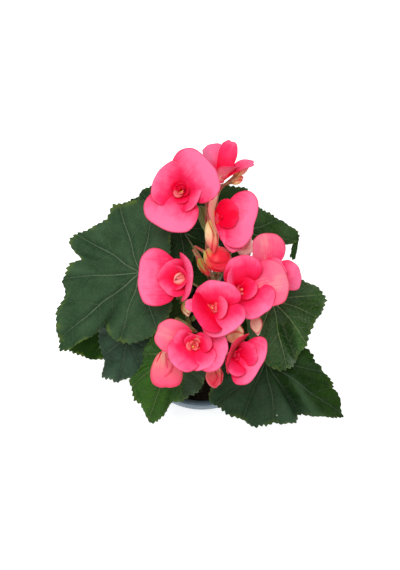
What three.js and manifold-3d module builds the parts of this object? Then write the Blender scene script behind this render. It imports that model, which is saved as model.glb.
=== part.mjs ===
// A potted elatior begonia in millimetres, +Z up, standing on z = 0 with the pot's axis on Z.
// The pot and its soil are turned shapes. Stems rise from the soil, leaves hang on the stems by
// their petioles, and forked stalks carry open flowers and buds above the leaves.
import * as THREE from "three";
import { mergeVertices } from "three/addons/utils/BufferGeometryUtils.js";
import Module from "manifold-3d";

const wasm = await Module();
wasm.setup();

// Pot
const potHeight = 110;
const rimRadius = 65;
const collarHeight = 22;
const collarStep = 4; // how far the collar stands out from the wall below it
const lipWidth = 3.5;
const lipDepth = 4;
const ledgeDrop = 3; // slope of the stacking ledge inside the rim
const baseRadius = 45;
const wall = 2.2;
const footWidth = 5.5;
const grooveRise = 3; // the drained ring stands this far above the foot
const plateRadius = 25; // flat plate in the middle of the underside
const drainRadius = 3.5;
const drainCount = 6;
const potSides = 32;

// Soil
const soilDepth = 12; // from the rim down to the soil
const soilGap = 0.3;
const soilEdgeDrop = 1.5;

// Plant
const touchGap = 0.4; // between pieces that grow out of each other
const stemRadius = 4.2;
const petioleRadius = 2.1;
const stalkRadius = 2.2;
const pedicelRadius = 1.3;
const leafThickness = 1.2;
const petalThickness = 1.2;
const receptacleRadius = 4.4;

const colours = {
  pot: [0x6c8799, 0.45],
  soil: [0x17120e, 0.95],
  stem: [0x6f7a3a, 0.55],
  stalk: [0x8a5a3a, 0.5],
  leaf: [0x2f4f2c, 0.5],
  flower: [0xf2477c, 0.55],
  bud: [0xe8806a, 0.55],
};

const degrees = Math.PI / 180;
const soilTop = potHeight - soilDepth;

// A place on the plant: its heights are measured from the pot's rim.
const at = ([x, y, z]) => new THREE.Vector3(x, y, z + potHeight);

// Solids

const solidOf = (geometry) => {
  const bare = geometry.clone();
  for (const key of ["normal", "uv"]) bare.deleteAttribute(key);
  const merged = mergeVertices(bare, 1e-3);
  return new wasm.Manifold(
    new wasm.Mesh({
      numProp: 3,
      vertProperties: merged.attributes.position.array,
      triVerts: new Uint32Array(merged.index.array),
    }),
  );
};

const geometryOf = (solid) => {
  const mesh = solid.getMesh();
  return new THREE.BufferGeometry()
    .setAttribute("position", new THREE.BufferAttribute(mesh.vertProperties, 3))
    .setIndex(new THREE.BufferAttribute(mesh.triVerts, 1));
};

const group = new THREE.Group();
const addNode = (name, finish, solid) => {
  const [color, roughness] = colours[finish];
  const material = new THREE.MeshStandardMaterial({ color, roughness, metalness: 0 });
  const mesh = new THREE.Mesh(geometryOf(solid), material);
  mesh.geometry.computeVertexNormals();
  mesh.name = name;
  group.add(mesh);
};

const turned = (profile, sides) => {
  const points = profile.map(([r, z]) => new THREE.Vector2(r, z));
  return solidOf(new THREE.LatheGeometry(points, sides).rotateX(Math.PI / 2));
};

// A round rod along a curve through the given points.
const rod = (points, radius, sides = 6, steps = 5) => {
  const circle = new THREE.Shape();
  for (let k = 0; k < sides; k += 1) {
    const turn = (2 * Math.PI * k) / sides;
    circle[k ? "lineTo" : "moveTo"](radius * Math.cos(turn), radius * Math.sin(turn));
  }
  const extrudePath = new THREE.CatmullRomCurve3(points);
  return solidOf(new THREE.ExtrudeGeometry(circle, { steps, extrudePath, bevelEnabled: false }));
};

// A thin disc whose vertices are placed by shape(share of the way out, index round the edge,
// height through the sheet). It makes leaf blades and petals.
const sheet = (segments, rings, thickness, shape) => {
  const half = thickness / 2;
  const profile = [new THREE.Vector2(0, -half)];
  for (let k = 1; k <= rings; k += 1) profile.push(new THREE.Vector2(k / rings, -half));
  for (let k = rings; k >= 0; k -= 1) profile.push(new THREE.Vector2(k / rings, half));
  const geometry = new THREE.LatheGeometry(profile, segments);
  const place = geometry.attributes.position;
  for (let i = 0; i < place.count; i += 1) {
    const [x, y, z] = [place.getX(i), place.getY(i), place.getZ(i)];
    const out = Math.round(Math.hypot(x, z) * rings) / rings;
    const turn = Math.round((Math.atan2(x, z) / (2 * Math.PI)) * segments);
    const p = shape(out, (turn + segments) % segments, y);
    place.setXYZ(i, p.x, p.y, p.z);
  }
  return solidOf(geometry);
};

const joined = (solids) => solids.reduce((all, next) => all.add(next));

// A cut can leave a sliver and a union can close in a pocket, so the piece is its largest body.
const largest = (solid) => solid.decompose().sort((a, b) => b.volume() - a.volume())[0];

// Pot and soil

const wallTop = potHeight - collarHeight;
const bodyTopRadius = rimRadius - collarStep;
const innerRimRadius = rimRadius - lipWidth;
const innerWallRadius = bodyTopRadius - wall;
const innerBaseRadius = baseRadius - wall + 0.6;
const floorTop = grooveRise + wall;
const grooveInner = plateRadius + 2;
const grooveOuter = baseRadius - footWidth;

const makePot = () => {
  const shell = turned(
    [
      [0, 0],
      [plateRadius, 0],
      [grooveInner, grooveRise],
      [grooveOuter, grooveRise],
      [grooveOuter, 0],
      [baseRadius, 0],
      [bodyTopRadius, wallTop],
      [rimRadius, wallTop + 1],
      [rimRadius, potHeight],
      [innerRimRadius, potHeight],
      [innerRimRadius, potHeight - lipDepth],
      [innerWallRadius, potHeight - lipDepth - ledgeDrop],
      [innerWallRadius, wallTop],
      [innerBaseRadius, floorTop],
      [grooveInner, floorTop],
      [plateRadius, wall],
      [0, wall],
    ],
    potSides,
  );
  const drainRing = (grooveInner + grooveOuter) / 2;
  const holes = [];
  for (let k = 0; k < drainCount; k += 1) {
    const turn = (2 * Math.PI * k) / drainCount;
    const plug = new THREE.CylinderGeometry(drainRadius, drainRadius, 4 * wall, 10);
    plug.rotateX(Math.PI / 2).translate(drainRing * Math.cos(turn), drainRing * Math.sin(turn), floorTop);
    holes.push(solidOf(plug));
  }
  addNode("pot", "pot", shell.subtract(joined(holes)));
};

const soilRadiusAt = (z) => {
  const share = Math.min(1, (z - floorTop) / (wallTop - floorTop));
  return innerBaseRadius + share * (innerWallRadius - innerBaseRadius) - soilGap;
};

const makeSoil = () => {
  const bottom = floorTop + soilGap;
  const edge = soilTop - soilEdgeDrop;
  const rimOfSoil = soilRadiusAt(edge);
  addNode(
    "soil",
    "soil",
    turned(
      [
        [0, bottom],
        [soilRadiusAt(bottom) - soilGap, bottom],
        [soilRadiusAt(wallTop), wallTop],
        [rimOfSoil, edge],
        [rimOfSoil - 6, soilTop],
        [0, soilTop],
      ],
      potSides,
    ),
  );
};

// Stems. Each is a list of points from the soil up to the place where its flower stalk starts.

const stems = {
  stem_left: [[-12, 8], [-16, 14, 30], [-20, 22, 72]],
  stem_back: [[8, 18], [10, 26, 28], [12, 40, 68]],
  stem_right: [[15, -4], [23, -4, 28], [29, -2, 74]],
  stem_front: [[-4, -14], [-5, -21, 30], [-1, -27, 72]],
};
for (const points of Object.values(stems)) {
  // The foot is cut square to a leaning stem, so it starts a little above the soil.
  points[0] = [...points[0], touchGap + 0.2 * stemRadius - soilDepth];
}

const stemKeepOut = {}; // each stem grown by the gap, at its side and at its top
const makeStems = () => {
  for (const [name, heights] of Object.entries(stems)) {
    const points = heights.map(at);
    addNode(name, "stem", rod(points, stemRadius, 8, 6));
    const [below, top] = points.slice(-2);
    top.addScaledVector(top.clone().sub(below).normalize(), touchGap);
    stemKeepOut[name] = rod(points, stemRadius + touchGap, 8, 6);
  }
};
const stemPoint = (name, share) =>
  new THREE.CatmullRomCurve3(stems[name].map(at)).getPoint(share);

// Leaves. at is where the petiole meets the blade; point is the plan direction of the tip; dip
// turns the tip down; sag is how far the edge droops; edge lists direction from the tip and
// distance from the petiole, going round anticlockwise from above.

const cordate = (size) =>
  [
    [-165, 0.44], [-140, 0.62], [-112, 0.66], [-85, 0.68], [-60, 0.74], [-36, 0.78], [-17, 0.84],
    [0, 1], [17, 0.86], [36, 0.8], [60, 0.76], [85, 0.7], [112, 0.68], [140, 0.6], [165, 0.42],
    [180, 0.08],
  ].map(([turn, share]) => [turn, share * size]);

const leaves = {
  leaf_left: {
    stem: "stem_left", from: 0.75, at: [-54, 34, 95], point: -136, dip: 10, roll: -4, sag: 7,
    edge: [
      [-174, 42], [-159, 55], [-146, 63], [-132, 66], [-110, 62], [-89, 60], [-69, 68], [-58, 56],
      [-46, 66], [-26, 72], [-13, 86], [0, 97], [3, 80], [6, 55], [20, 62], [40, 63], [57, 60],
      [88, 42], [112, 28], [128, 5], [156, 26],
    ],
  },
  leaf_left_front: {
    stem: "stem_left", from: 0.45, at: [-66, -13, 50], point: -107, dip: 30, roll: 0, sag: 6,
    edge: [
      [-165, 20], [-120, 28], [-80, 30], [-40, 29], [-27, 36], [-22, 46], [-10, 41], [0, 44],
      [14, 37], [33, 38], [54, 40], [85, 44], [120, 38], [150, 22], [180, 5],
    ],
  },
  leaf_left_low: {
    stem: "stem_left", from: 0.3, at: [-82, 8, 32], point: -122, dip: 20, roll: 0, sag: 5,
    edge: [
      [-170, 20], [-140, 34], [-105, 40], [-70, 42], [-35, 40], [-17, 43], [-3, 42], [10, 42],
      [22, 39], [30, 30], [60, 34], [95, 36], [130, 30], [160, 16], [178, 5],
    ],
  },
  leaf_back_left: {
    stem: "stem_back", from: 0.8, at: [-20, 82, 76], point: 130, dip: 14, roll: 4, sag: 6,
    edge: [
      [-168, 20], [-140, 34], [-110, 40], [-75, 44], [-40, 46], [-20, 52], [-8, 55], [0, 58],
      [10, 55], [21, 50], [45, 44], [80, 40], [118, 38], [151, 42], [168, 30], [178, 5],
    ],
  },
  leaf_back: {
    stem: "stem_back", from: 0.3, at: [6, 68, 34], point: 96, dip: 22, roll: 0, sag: 6,
    edge: cordate(58),
  },
  leaf_inner_back: {
    stem: "stem_back", from: 0.52, at: [-13, 44, 47], point: 128, dip: 16, roll: 0, sag: 3,
    edge: cordate(33),
  },
  leaf_back_right: {
    stem: "stem_back", from: 0.58, at: [14, 96, 62], point: 52, dip: 12, roll: -6, sag: 4,
    edge: [
      [-168, 14], [-135, 22], [-100, 24], [-60, 26], [-32, 28], [-13, 36], [-7, 42], [0, 47],
      [9, 43], [30, 38], [60, 36], [95, 32], [135, 24], [165, 14], [180, 4],
    ],
  },
  leaf_right_back: {
    stem: "stem_back", from: 0.74, at: [34, 74, 89], point: 1, dip: 34, roll: 0, sag: 5,
    edge: [
      [-165, 14], [-130, 20], [-90, 20], [-45, 20], [-9, 32], [-4, 52], [1, 70], [12, 65],
      [21, 54], [44, 38], [66, 32], [100, 30], [140, 22], [170, 10], [182, 4],
    ],
  },
  leaf_right: {
    stem: "stem_right", from: 0.72, at: [61, 14, 86], point: -62, dip: 22, roll: 0, sag: 5,
    edge: [
      [-165, 16], [-130, 22], [-90, 26], [-60, 38], [-43, 46], [-34, 57], [-22, 61], [-10, 61],
      [-1, 56], [10, 50], [22, 44], [36, 43], [50, 47], [63, 48], [77, 41], [96, 31], [126, 25],
      [150, 18], [172, 5],
    ],
  },
  leaf_right_low: {
    stem: "stem_right", from: 0.32, at: [58, 10, 38], point: -14, dip: 24, roll: 0, sag: 5,
    edge: cordate(42),
  },
  leaf_front_right: {
    stem: "stem_right", from: 0.55, at: [57, -34, 48], point: -33, dip: 18, roll: 0, sag: 6,
    edge: [
      [-168, 20], [-146, 42], [-121, 56], [-108, 61], [-93, 58], [-79, 56], [-62, 57], [-44, 56],
      [-29, 58], [-18, 50], [-10, 66], [-3, 80], [1, 86], [11, 74], [20, 64], [34, 50], [60, 40],
      [95, 34], [130, 24], [160, 10],
    ],
  },
  leaf_front_left: {
    stem: "stem_front", from: 0.75, at: [-27, -29, 62], point: -107, dip: 28, roll: 0, sag: 5,
    edge: [
      [-165, 16], [-120, 26], [-80, 34], [-54, 37], [-38, 50], [-23, 55], [-10, 57], [0, 69],
      [9, 56], [14, 46], [30, 45], [46, 42], [60, 40], [76, 34], [110, 24], [150, 12], [176, 4],
    ],
  },
  leaf_inner_left: {
    stem: "stem_left", from: 0.62, at: [-35, 2, 66], point: -62, dip: 26, roll: 0, sag: 3,
    edge: cordate(28),
  },
  leaf_inner_right: {
    stem: "stem_right", from: 0.92, at: [44, 30, 62], point: 66, dip: 24, roll: 0, sag: 3,
    edge: cordate(30),
  },
};

const leafFrame = (leaf) => {
  const [point, dip, roll] = [leaf.point, leaf.dip, leaf.roll].map((v) => v * degrees);
  const along = new THREE.Vector3(
    Math.cos(point) * Math.cos(dip), Math.sin(point) * Math.cos(dip), -Math.sin(dip),
  );
  const side = new THREE.Vector3(-Math.sin(point), Math.cos(point), 0).applyAxisAngle(along, roll);
  return [along, side, new THREE.Vector3().crossVectors(along, side)];
};

const makeLeaf = (name, leaf) => {
  const [along, side, up] = leafFrame(leaf);
  const origin = at(leaf.at);
  const reach = Math.max(...leaf.edge.map(([, r]) => r));
  const blade = sheet(leaf.edge.length, 2, leafThickness, (out, k, height) => {
    const [turn, radius] = leaf.edge[k];
    const r = out * radius;
    const droop = leaf.sag * (r / reach) ** 2;
    return origin
      .clone()
      .addScaledVector(along, r * Math.cos(turn * degrees))
      .addScaledVector(side, r * Math.sin(turn * degrees))
      .addScaledVector(up, height - droop);
  });
  const root = stemPoint(leaf.stem, leaf.from);
  const mid = root.clone().lerp(origin, 0.55).add(new THREE.Vector3(0, 0, leaf.arch ?? 6));
  const top = origin.clone().addScaledVector(up, -petioleRadius * 0.6);
  const petiole = rod([root, mid, top], petioleRadius, 6, 4);
  let grown = blade.add(petiole);
  for (const keepOut of Object.values(stemKeepOut)) grown = grown.subtract(keepOut);
  addNode(name, "leaf", largest(grown));
};

// Flowers. at is the receptacle and face the way it looks. Each petal has a turn round the face,
// how far it opens from the face's direction at its base and at its tip, its length and width.

const imageUp = new THREE.Vector3(0, 0.956, 0.292); // turn 90 is towards the back of the plant

const flowers = {
  flower_back_left: {
    at: [-16, 87, 152], face: [-0.13, -0.29, 0.95],
    petals: [
      [38, 23, 84, 42, 52], [248, 32, 88, 40, 52], [143, 6, 62, 32, 44], [-21, 8, 59, 33, 36],
    ],
  },
  flower_back: {
    at: [15, 102, 139], face: [0.28, 0.55, 0.79],
    petals: [
      [131, 20, 65, 31, 35], [61, 8, 34, 33, 16], [-49, 8, 54, 33, 24], [93, 6, 28, 24, 15],
    ],
  },
  flower_upper_right: {
    at: [17, 66, 144], face: [0.35, -0.1, 0.93],
    petals: [
      [-12, 20, 68, 32, 50], [176, 22, 38, 35, 38], [-72, 38, 85, 35, 20], [40, 8, 42, 18, 20],
    ],
  },
  flower_left: {
    at: [-16, 15, 138], face: [-0.36, -0.24, 0.9],
    petals: [
      [180, 24, 79, 38, 51], [4, 18, 54, 33, 44], [134, 12, 55, 23, 26], [226, 12, 60, 22, 28],
    ],
  },
  flower_right: {
    at: [33, 0, 154], face: [0.2, -0.14, 0.97],
    petals: [
      [100, 20, 64, 35, 34], [-50, 26, 76, 35, 37], [16, 34, 82, 37, 34], [184, 18, 50, 28, 40],
    ],
  },
  flower_right_back: {
    at: [56, 19, 124], face: [0.68, 0.25, 0.68],
    petals: [
      [105, 28, 88, 33, 42], [-30, 26, 74, 27, 34], [-142, 24, 74, 30, 36], [20, 8, 40, 20, 22],
    ],
  },
  flower_centre: {
    at: [6, -20, 170], face: [0.12, -0.2, 0.97],
    petals: [
      [75, 24, 62, 28, 35], [220, 11, 57, 26, 37], [-60, 24, 78, 30, 40], [4, 7, 26, 20, 20],
    ],
  },
  flower_front: {
    at: [-6, -45, 152], face: [-0.01, -0.28, 0.96],
    petals: [
      [157, 31, 83, 40, 28], [-17, 32, 66, 33, 37], [219, 14, 69, 32, 29], [300, 20, 69, 27, 25],
      [20, 12, 50, 24, 18],
    ],
  },
  flower_front_low: {
    at: [-28, -42, 126], face: [-0.25, -0.95, -0.12],
    petals: [
      [129, 14, 38, 24, 26], [-7, 19, 62, 32, 32], [230, 10, 36, 24, 22], [60, 8, 30, 20, 18],
    ],
  },
  flower_front_right: {
    at: [26, -50, 140], face: [0.34, -0.3, 0.9],
    petals: [
      [154, 15, 40, 34, 41], [-30, 18, 70, 24, 46], [8, 12, 56, 22, 18], [241, 22, 66, 27, 18],
    ],
  },
};

const flowerFrame = (flower) => {
  const axis = new THREE.Vector3(...flower.face).normalize();
  const across = new THREE.Vector3().crossVectors(imageUp, axis).normalize();
  return [axis, across, new THREE.Vector3().crossVectors(axis, across)];
};

const petalCup = 0.55; // how far a petal's sides roll in, in radians over its half width
const petalInset = 2; // a petal starts this far out from the flower's axis

const makePetal = (flower, [turn, openBase, openTip, length, width]) => {
  const [axis, across, upward] = flowerFrame(flower);
  const outward = across.clone().multiplyScalar(Math.cos(turn * degrees));
  outward.addScaledVector(upward, Math.sin(turn * degrees));
  const sideways = new THREE.Vector3().crossVectors(axis, outward);
  const [a0, a1] = [openBase * degrees, openTip * degrees];
  const segments = 9;
  return sheet(segments, 2, petalThickness, (out, k, height) => {
    const round = (2 * Math.PI * k) / segments;
    const s = 0.5 + 0.5 * out * Math.cos(round);
    const t = out * Math.sin(round) * (0.6 + 0.65 * s); // narrow at the base, broad near the tip
    const bend = a0 + (a1 - a0) * s;
    const away = (length * (Math.cos(a0) - Math.cos(bend))) / (a1 - a0);
    const along = (length * (Math.sin(bend) - Math.sin(a0))) / (a1 - a0);
    const roll = petalCup * t;
    const lift = (width / 2 / petalCup) * (1 - Math.cos(roll)) + height;
    return at(flower.at)
      .addScaledVector(outward, petalInset + away - lift * Math.cos(bend))
      .addScaledVector(sideways, (width / 2 / petalCup) * Math.sin(roll))
      .addScaledVector(axis, along + lift * Math.sin(bend));
  });
};

const makeFlower = (name, flower) => {
  const [axis] = flowerFrame(flower);
  const heart = new THREE.SphereGeometry(receptacleRadius, 7, 5);
  const centre = at(flower.at).addScaledVector(axis, receptacleRadius * 0.5);
  heart.translate(centre.x, centre.y, centre.z);
  const petals = flower.petals.map((petal) => makePetal(flower, petal));
  addNode(name, "flower", largest(joined([solidOf(heart), ...petals])));
};

// Buds: at is the middle, point the way the tip looks.

const buds = {
  bud_upper_flat: { at: [8, 50, 140], point: [0.12, -0.98, 0.1], size: [26, 12, 8] },
  bud_round: { at: [13, 36, 126], point: [0.75, -0.5, 0.2], size: [27, 23, 21] },
  bud_small: { at: [1, 34, 112], point: [0.5, -0.85, 0], size: [20, 9, 8] },
  bud_pale: { at: [36, 49, 124], point: [0.25, -0.75, 0.6], size: [22, 17, 16] },
  bud_green: { at: [-13, -4, 116], point: [0.15, -0.95, 0.25], size: [17, 9, 8] },
  bud_cream: { at: [26, -31, 136], point: [0.15, 0.4, 0.8], size: [22, 12, 11] },
  bud_front: { at: [10, -65, 126], point: [0, -0.95, -0.2], size: [19, 15, 14] },
  bud_narrow: { at: [45, -20, 124], point: [0.15, -0.95, -0.2], size: [18, 9, 7] },
  bud_back: { at: [30, 108, 126], point: [0.9, 0.3, 0.3], size: [13, 9, 8] },
  bud_back_tall: { at: [34, 114, 136], point: [0.7, 0.6, 0.4], size: [19, 10, 9] },
};

const budFrame = (bud) => {
  const axis = new THREE.Vector3(...bud.point).normalize();
  const across = new THREE.Vector3().crossVectors(imageUp, axis).normalize();
  return new THREE.Matrix4().makeBasis(across, new THREE.Vector3().crossVectors(axis, across), axis);
};

const makeBud = (name, bud) => {
  const [length, width, depth] = bud.size;
  const body = new THREE.SphereGeometry(0.5, 8, 6).rotateX(Math.PI / 2);
  body.scale(width, depth, length).applyMatrix4(budFrame(bud)).translate(...at(bud.at));
  addNode(name, "bud", solidOf(body));
};

// Flower stalks: each rises from a stem's top to a fork, and a pedicel runs on to each head.

const stalks = {
  stalk_left: { stem: "stem_left", fork: [-17, 24, 112], heads: ["flower_left", "bud_green"] },
  stalk_back: {
    stem: "stem_back", side: [2.6, 1.5], fork: [12, 68, 104],
    heads: ["flower_back_left", "flower_back", "flower_upper_right", "bud_pale", "bud_back", "bud_back_tall"],
  },
  stalk_middle: {
    stem: "stem_back", side: [-2.6, -1.5], fork: [4, 38, 96],
    heads: ["bud_upper_flat", "bud_round", "bud_small"],
  },
  stalk_right: {
    stem: "stem_right", fork: [31, -2, 108],
    heads: ["flower_right", "flower_right_back", "bud_narrow"],
  },
  stalk_front: {
    stem: "stem_front", fork: [0, -32, 104],
    heads: [
      "flower_centre", "flower_front", "flower_front_low", "flower_front_right", "bud_cream", "bud_front",
    ],
  },
};

const headBase = (name) => {
  if (flowers[name]) {
    const [axis] = flowerFrame(flowers[name]);
    const depth = receptacleRadius / 2 + touchGap;
    return [at(flowers[name].at).addScaledVector(axis, -depth), axis];
  }
  const axis = new THREE.Vector3(...buds[name].point).normalize();
  const depth = buds[name].size[0] / 2 + touchGap;
  return [at(buds[name].at).addScaledVector(axis, -depth), axis];
};

const makeStalk = (name, stalk) => {
  const [aside, back] = stalk.side ?? [0, 0];
  const foot = at(stems[stalk.stem][2]).add(new THREE.Vector3(aside, back, -1));
  const fork = at(stalk.fork);
  const mid = foot.clone().lerp(fork, 0.5).add(new THREE.Vector3(0, 0, 2));
  const parts = [rod([foot, mid, fork], stalkRadius, 6, 3)];
  for (const head of stalk.heads) {
    const [end, axis] = headBase(head);
    const near = end.clone().addScaledVector(axis, -0.35 * end.distanceTo(fork));
    parts.push(rod([fork, near, end], pedicelRadius, 5, 4));
  }
  addNode(name, "stalk", largest(joined(parts).subtract(stemKeepOut[stalk.stem])));
};

makePot();
makeSoil();
makeStems();
for (const [name, leaf] of Object.entries(leaves)) makeLeaf(name, leaf);
for (const [name, stalk] of Object.entries(stalks)) makeStalk(name, stalk);
for (const [name, flower] of Object.entries(flowers)) makeFlower(name, flower);
for (const [name, bud] of Object.entries(buds)) makeBud(name, bud);

export default group;
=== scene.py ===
import math
import random

import bpy
import numpy as np
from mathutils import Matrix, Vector


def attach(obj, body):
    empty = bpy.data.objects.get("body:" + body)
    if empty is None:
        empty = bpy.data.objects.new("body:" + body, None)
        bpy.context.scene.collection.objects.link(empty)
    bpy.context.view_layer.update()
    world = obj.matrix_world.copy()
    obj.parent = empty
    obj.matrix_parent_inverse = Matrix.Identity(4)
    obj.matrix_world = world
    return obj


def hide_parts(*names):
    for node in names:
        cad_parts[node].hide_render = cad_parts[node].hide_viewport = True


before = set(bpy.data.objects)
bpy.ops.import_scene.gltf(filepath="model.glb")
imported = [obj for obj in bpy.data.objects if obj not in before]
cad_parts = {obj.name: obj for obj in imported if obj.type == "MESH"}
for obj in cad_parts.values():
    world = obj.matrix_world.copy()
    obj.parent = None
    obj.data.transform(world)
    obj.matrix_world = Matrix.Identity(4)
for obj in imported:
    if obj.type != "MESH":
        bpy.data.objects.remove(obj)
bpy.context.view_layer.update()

mm = 0.001
tau = 2 * math.pi
seeds = {"soil": 11, "leaf": 100, "flower": 300, "bud": 500, "stalk": 700}


# Shader helpers

class Wire:
    # a node's output that can stand in a sum, so masks read as plain arithmetic
    def __init__(self, look, socket):
        self.look, self.socket = look, socket

    def math(self, operation, first, second=0.0):
        return self.look.add("Math", {"operation": operation}, {0: first, 1: second})

    def __add__(self, other):
        return self.math("ADD", self, other)

    def __sub__(self, other):
        return self.math("SUBTRACT", self, other)

    def __mul__(self, other):
        return self.math("MULTIPLY", self, other)

    def __truediv__(self, other):
        return self.math("DIVIDE", self, other)

    def __rsub__(self, other):
        return self.math("SUBTRACT", other, self)

    __radd__ = __add__
    __rmul__ = __mul__

    def zigzag(self, size):
        return self.math("PINGPONG", self, size)

    def ease(self, low, high):
        # 0 below low, 1 above high, smooth between
        settings = {"interpolation_type": "SMOOTHSTEP"}
        return self.look.add("MapRange", settings, {0: self, 1: low, 2: high, 3: 0.0, 4: 1.0})


class Look:
    # one material: add() makes any node, the other methods are short ways to call it
    def __init__(self, name, **fixed):
        self.material = bpy.data.materials.new(name)
        self.material.use_nodes = True
        self.tree = self.material.node_tree
        self.shader = self.tree.nodes["Principled BSDF"]
        self.feed(self.shader, {key.replace("_", " "): value for key, value in fixed.items()})

    def feed(self, node, sockets):
        for key, value in sockets.items():
            socket = node.inputs[key]
            if isinstance(value, Wire):
                self.tree.links.new(value.socket, socket)
            elif isinstance(value, tuple) and socket.type == "RGBA":
                socket.default_value = (*value, 1)
            else:
                socket.default_value = value

    def add(self, kind, settings=None, sockets=None, out=0):
        node = self.tree.nodes.new("ShaderNode" + kind)
        for key, value in (settings or {}).items():
            if key == "stops":
                stops = node.color_ramp.elements
                while len(stops) < len(value):
                    stops.new(1)
                for stop, (place, colour) in zip(stops, value):
                    stop.position, stop.color = place, (*colour, 1)
            else:
                setattr(node, key, value)
        self.feed(node, sockets or {})
        return Wire(self, node.outputs[out])

    def values(self, attribute):
        # the three numbers that the mesh carries under this name
        place = self.add("Attribute", {"attribute_name": attribute}, out="Vector")
        return [self.add("SeparateXYZ", sockets={0: place}, out=k) for k in range(3)]

    def where(self):
        return self.add("TexCoord", out="Object")

    def noise(self, size, detail=3.0, distortion=0.0):
        # size is the width of a patch in millimetres
        sockets = {"Vector": self.where(), "Scale": 1 / (size * mm), "Detail": detail}
        return self.add("TexNoise", sockets={**sockets, "Distortion": distortion})

    def streaks(self, across, along, scale, detail=5.0, roughness=0.6):
        # noise that is drawn out into fine lines: across changes fast and along slowly
        place = self.add("CombineXYZ", sockets={0: across, 1: along})
        return self.add("TexNoise", sockets={"Vector": place, "Scale": scale, "Detail": detail,
                                             "Roughness": roughness})

    def cells(self, size, feature="F1"):
        sockets = {"Vector": self.where(), "Scale": 1 / (size * mm)}
        return self.add("TexVoronoi", {"feature": feature}, sockets)

    def ramp(self, factor, *stops):
        return self.add("ValToRGB", {"stops": stops}, {0: factor})

    def blend(self, factor, first, second):
        return self.add("Mix", {"data_type": "RGBA"}, {0: factor, 6: first, 7: second}, out=2)

    def finish(self, colour, roughness, height=None, depth=0.3):
        # depth is how many millimetres of relief the height stands for
        self.feed(self.shader, {"Base Color": colour, "Roughness": roughness})
        if height is not None:
            bump = self.add("Bump", sockets={"Height": height, "Strength": 1.0, "Distance": depth * mm})
            self.feed(self.shader, {"Normal": bump})
        return self


# Mesh helpers, all in millimetres until a piece is made

def unit(v):
    v = np.asarray(v, float)
    return v / np.linalg.norm(v)


def smoothPath(points, count):
    # a smooth curve through the points, the same curve as the solids follow
    p = [np.asarray(v, float) for v in points]
    p = [2 * p[0] - p[1]] + p + [2 * p[-1] - p[-2]]
    shares = np.linspace(0, len(points) - 1, count)
    out = []
    for share in shares:
        k = min(int(share), len(points) - 2)
        w = share - k
        p0, p1, p2, p3 = p[k:k + 4]
        steps = ((p0, p1), (p1, p2), (p2, p3))
        d0, d1, d2 = (max(np.linalg.norm(b - a), 1e-4) ** 0.5 for a, b in steps)
        t1 = ((p1 - p0) / d0 - (p2 - p0) / (d0 + d1) + (p2 - p1) / d1) * d1
        t2 = ((p2 - p1) / d1 - (p3 - p1) / (d1 + d2) + (p3 - p2) / d2) * d1
        square, cube = 3 * (p2 - p1) - 2 * t1 - t2, 2 * (p1 - p2) + t1 + t2
        out.append(p1 + t1 * w + square * w ** 2 + cube * w ** 3)
    return np.array(out)


def bandFaces(rows, sides, first=0):
    # the quads between rings of vertices that follow each other from vertex first
    faces = []
    for start in range(first, first + (rows - 1) * sides, sides):
        for k in range(sides):
            n = (k + 1) % sides
            faces.append((start + k, start + n, start + sides + n, start + sides + k))
    return faces


def rodFaces(rows, sides):
    # rings with a flat face at each end
    last = (rows - 1) * sides
    return bandFaces(rows, sides) + [tuple(reversed(range(sides))), tuple(last + k for k in range(sides))]


def ballFaces(rows, sides):
    # rings between two poles: vertex 0 and the last one
    start, pole = 1 + (rows - 1) * sides, 1 + rows * sides
    bottom = [(0, 1 + (k + 1) % sides, 1 + k) for k in range(sides)]
    top = [(start + k, start + (k + 1) % sides, pole) for k in range(sides)]
    return bottom + bandFaces(rows, sides, 1) + top


discCache = {}


def discFaces(rings, segments):
    # vertex 0 is the middle, then each ring from the inside out
    if (rings, segments) not in discCache:
        faces = []
        for k in range(segments):
            n = (k + 1) % segments
            faces.append((0, 1 + k, 1 + n))
            for r in range(rings - 1):
                a = 1 + r * segments
                faces.append((a + k, a + segments + k, a + segments + n, a + n))
        discCache[rings, segments] = faces
    return discCache[rings, segments]


def discGrid(rings, segments):
    # share of the way out and index round the edge of each vertex
    out = np.repeat(np.arange(1, rings + 1) / rings, segments)
    index = np.tile(np.arange(segments), rings)
    return np.concatenate([[0.0], out]), np.concatenate([[0], index])


def normalsOf(points, faces):
    total = np.zeros_like(points)
    for size in (3, 4):
        part = np.array([f for f in faces if len(f) == size])
        if not len(part):
            continue
        a, b, c = points[part[:, 0]], points[part[:, 1]], points[part[:, -1]]
        n = np.cross(b - a, c - a)
        if size == 4:
            d = points[part[:, 2]]
            n += np.cross(d - b, a - b) + np.cross(c - d, b - d)
        for column in range(size):
            np.add.at(total, part[:, column], n)
    return total / np.maximum(np.linalg.norm(total, axis=1, keepdims=True), 1e-9)


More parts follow.
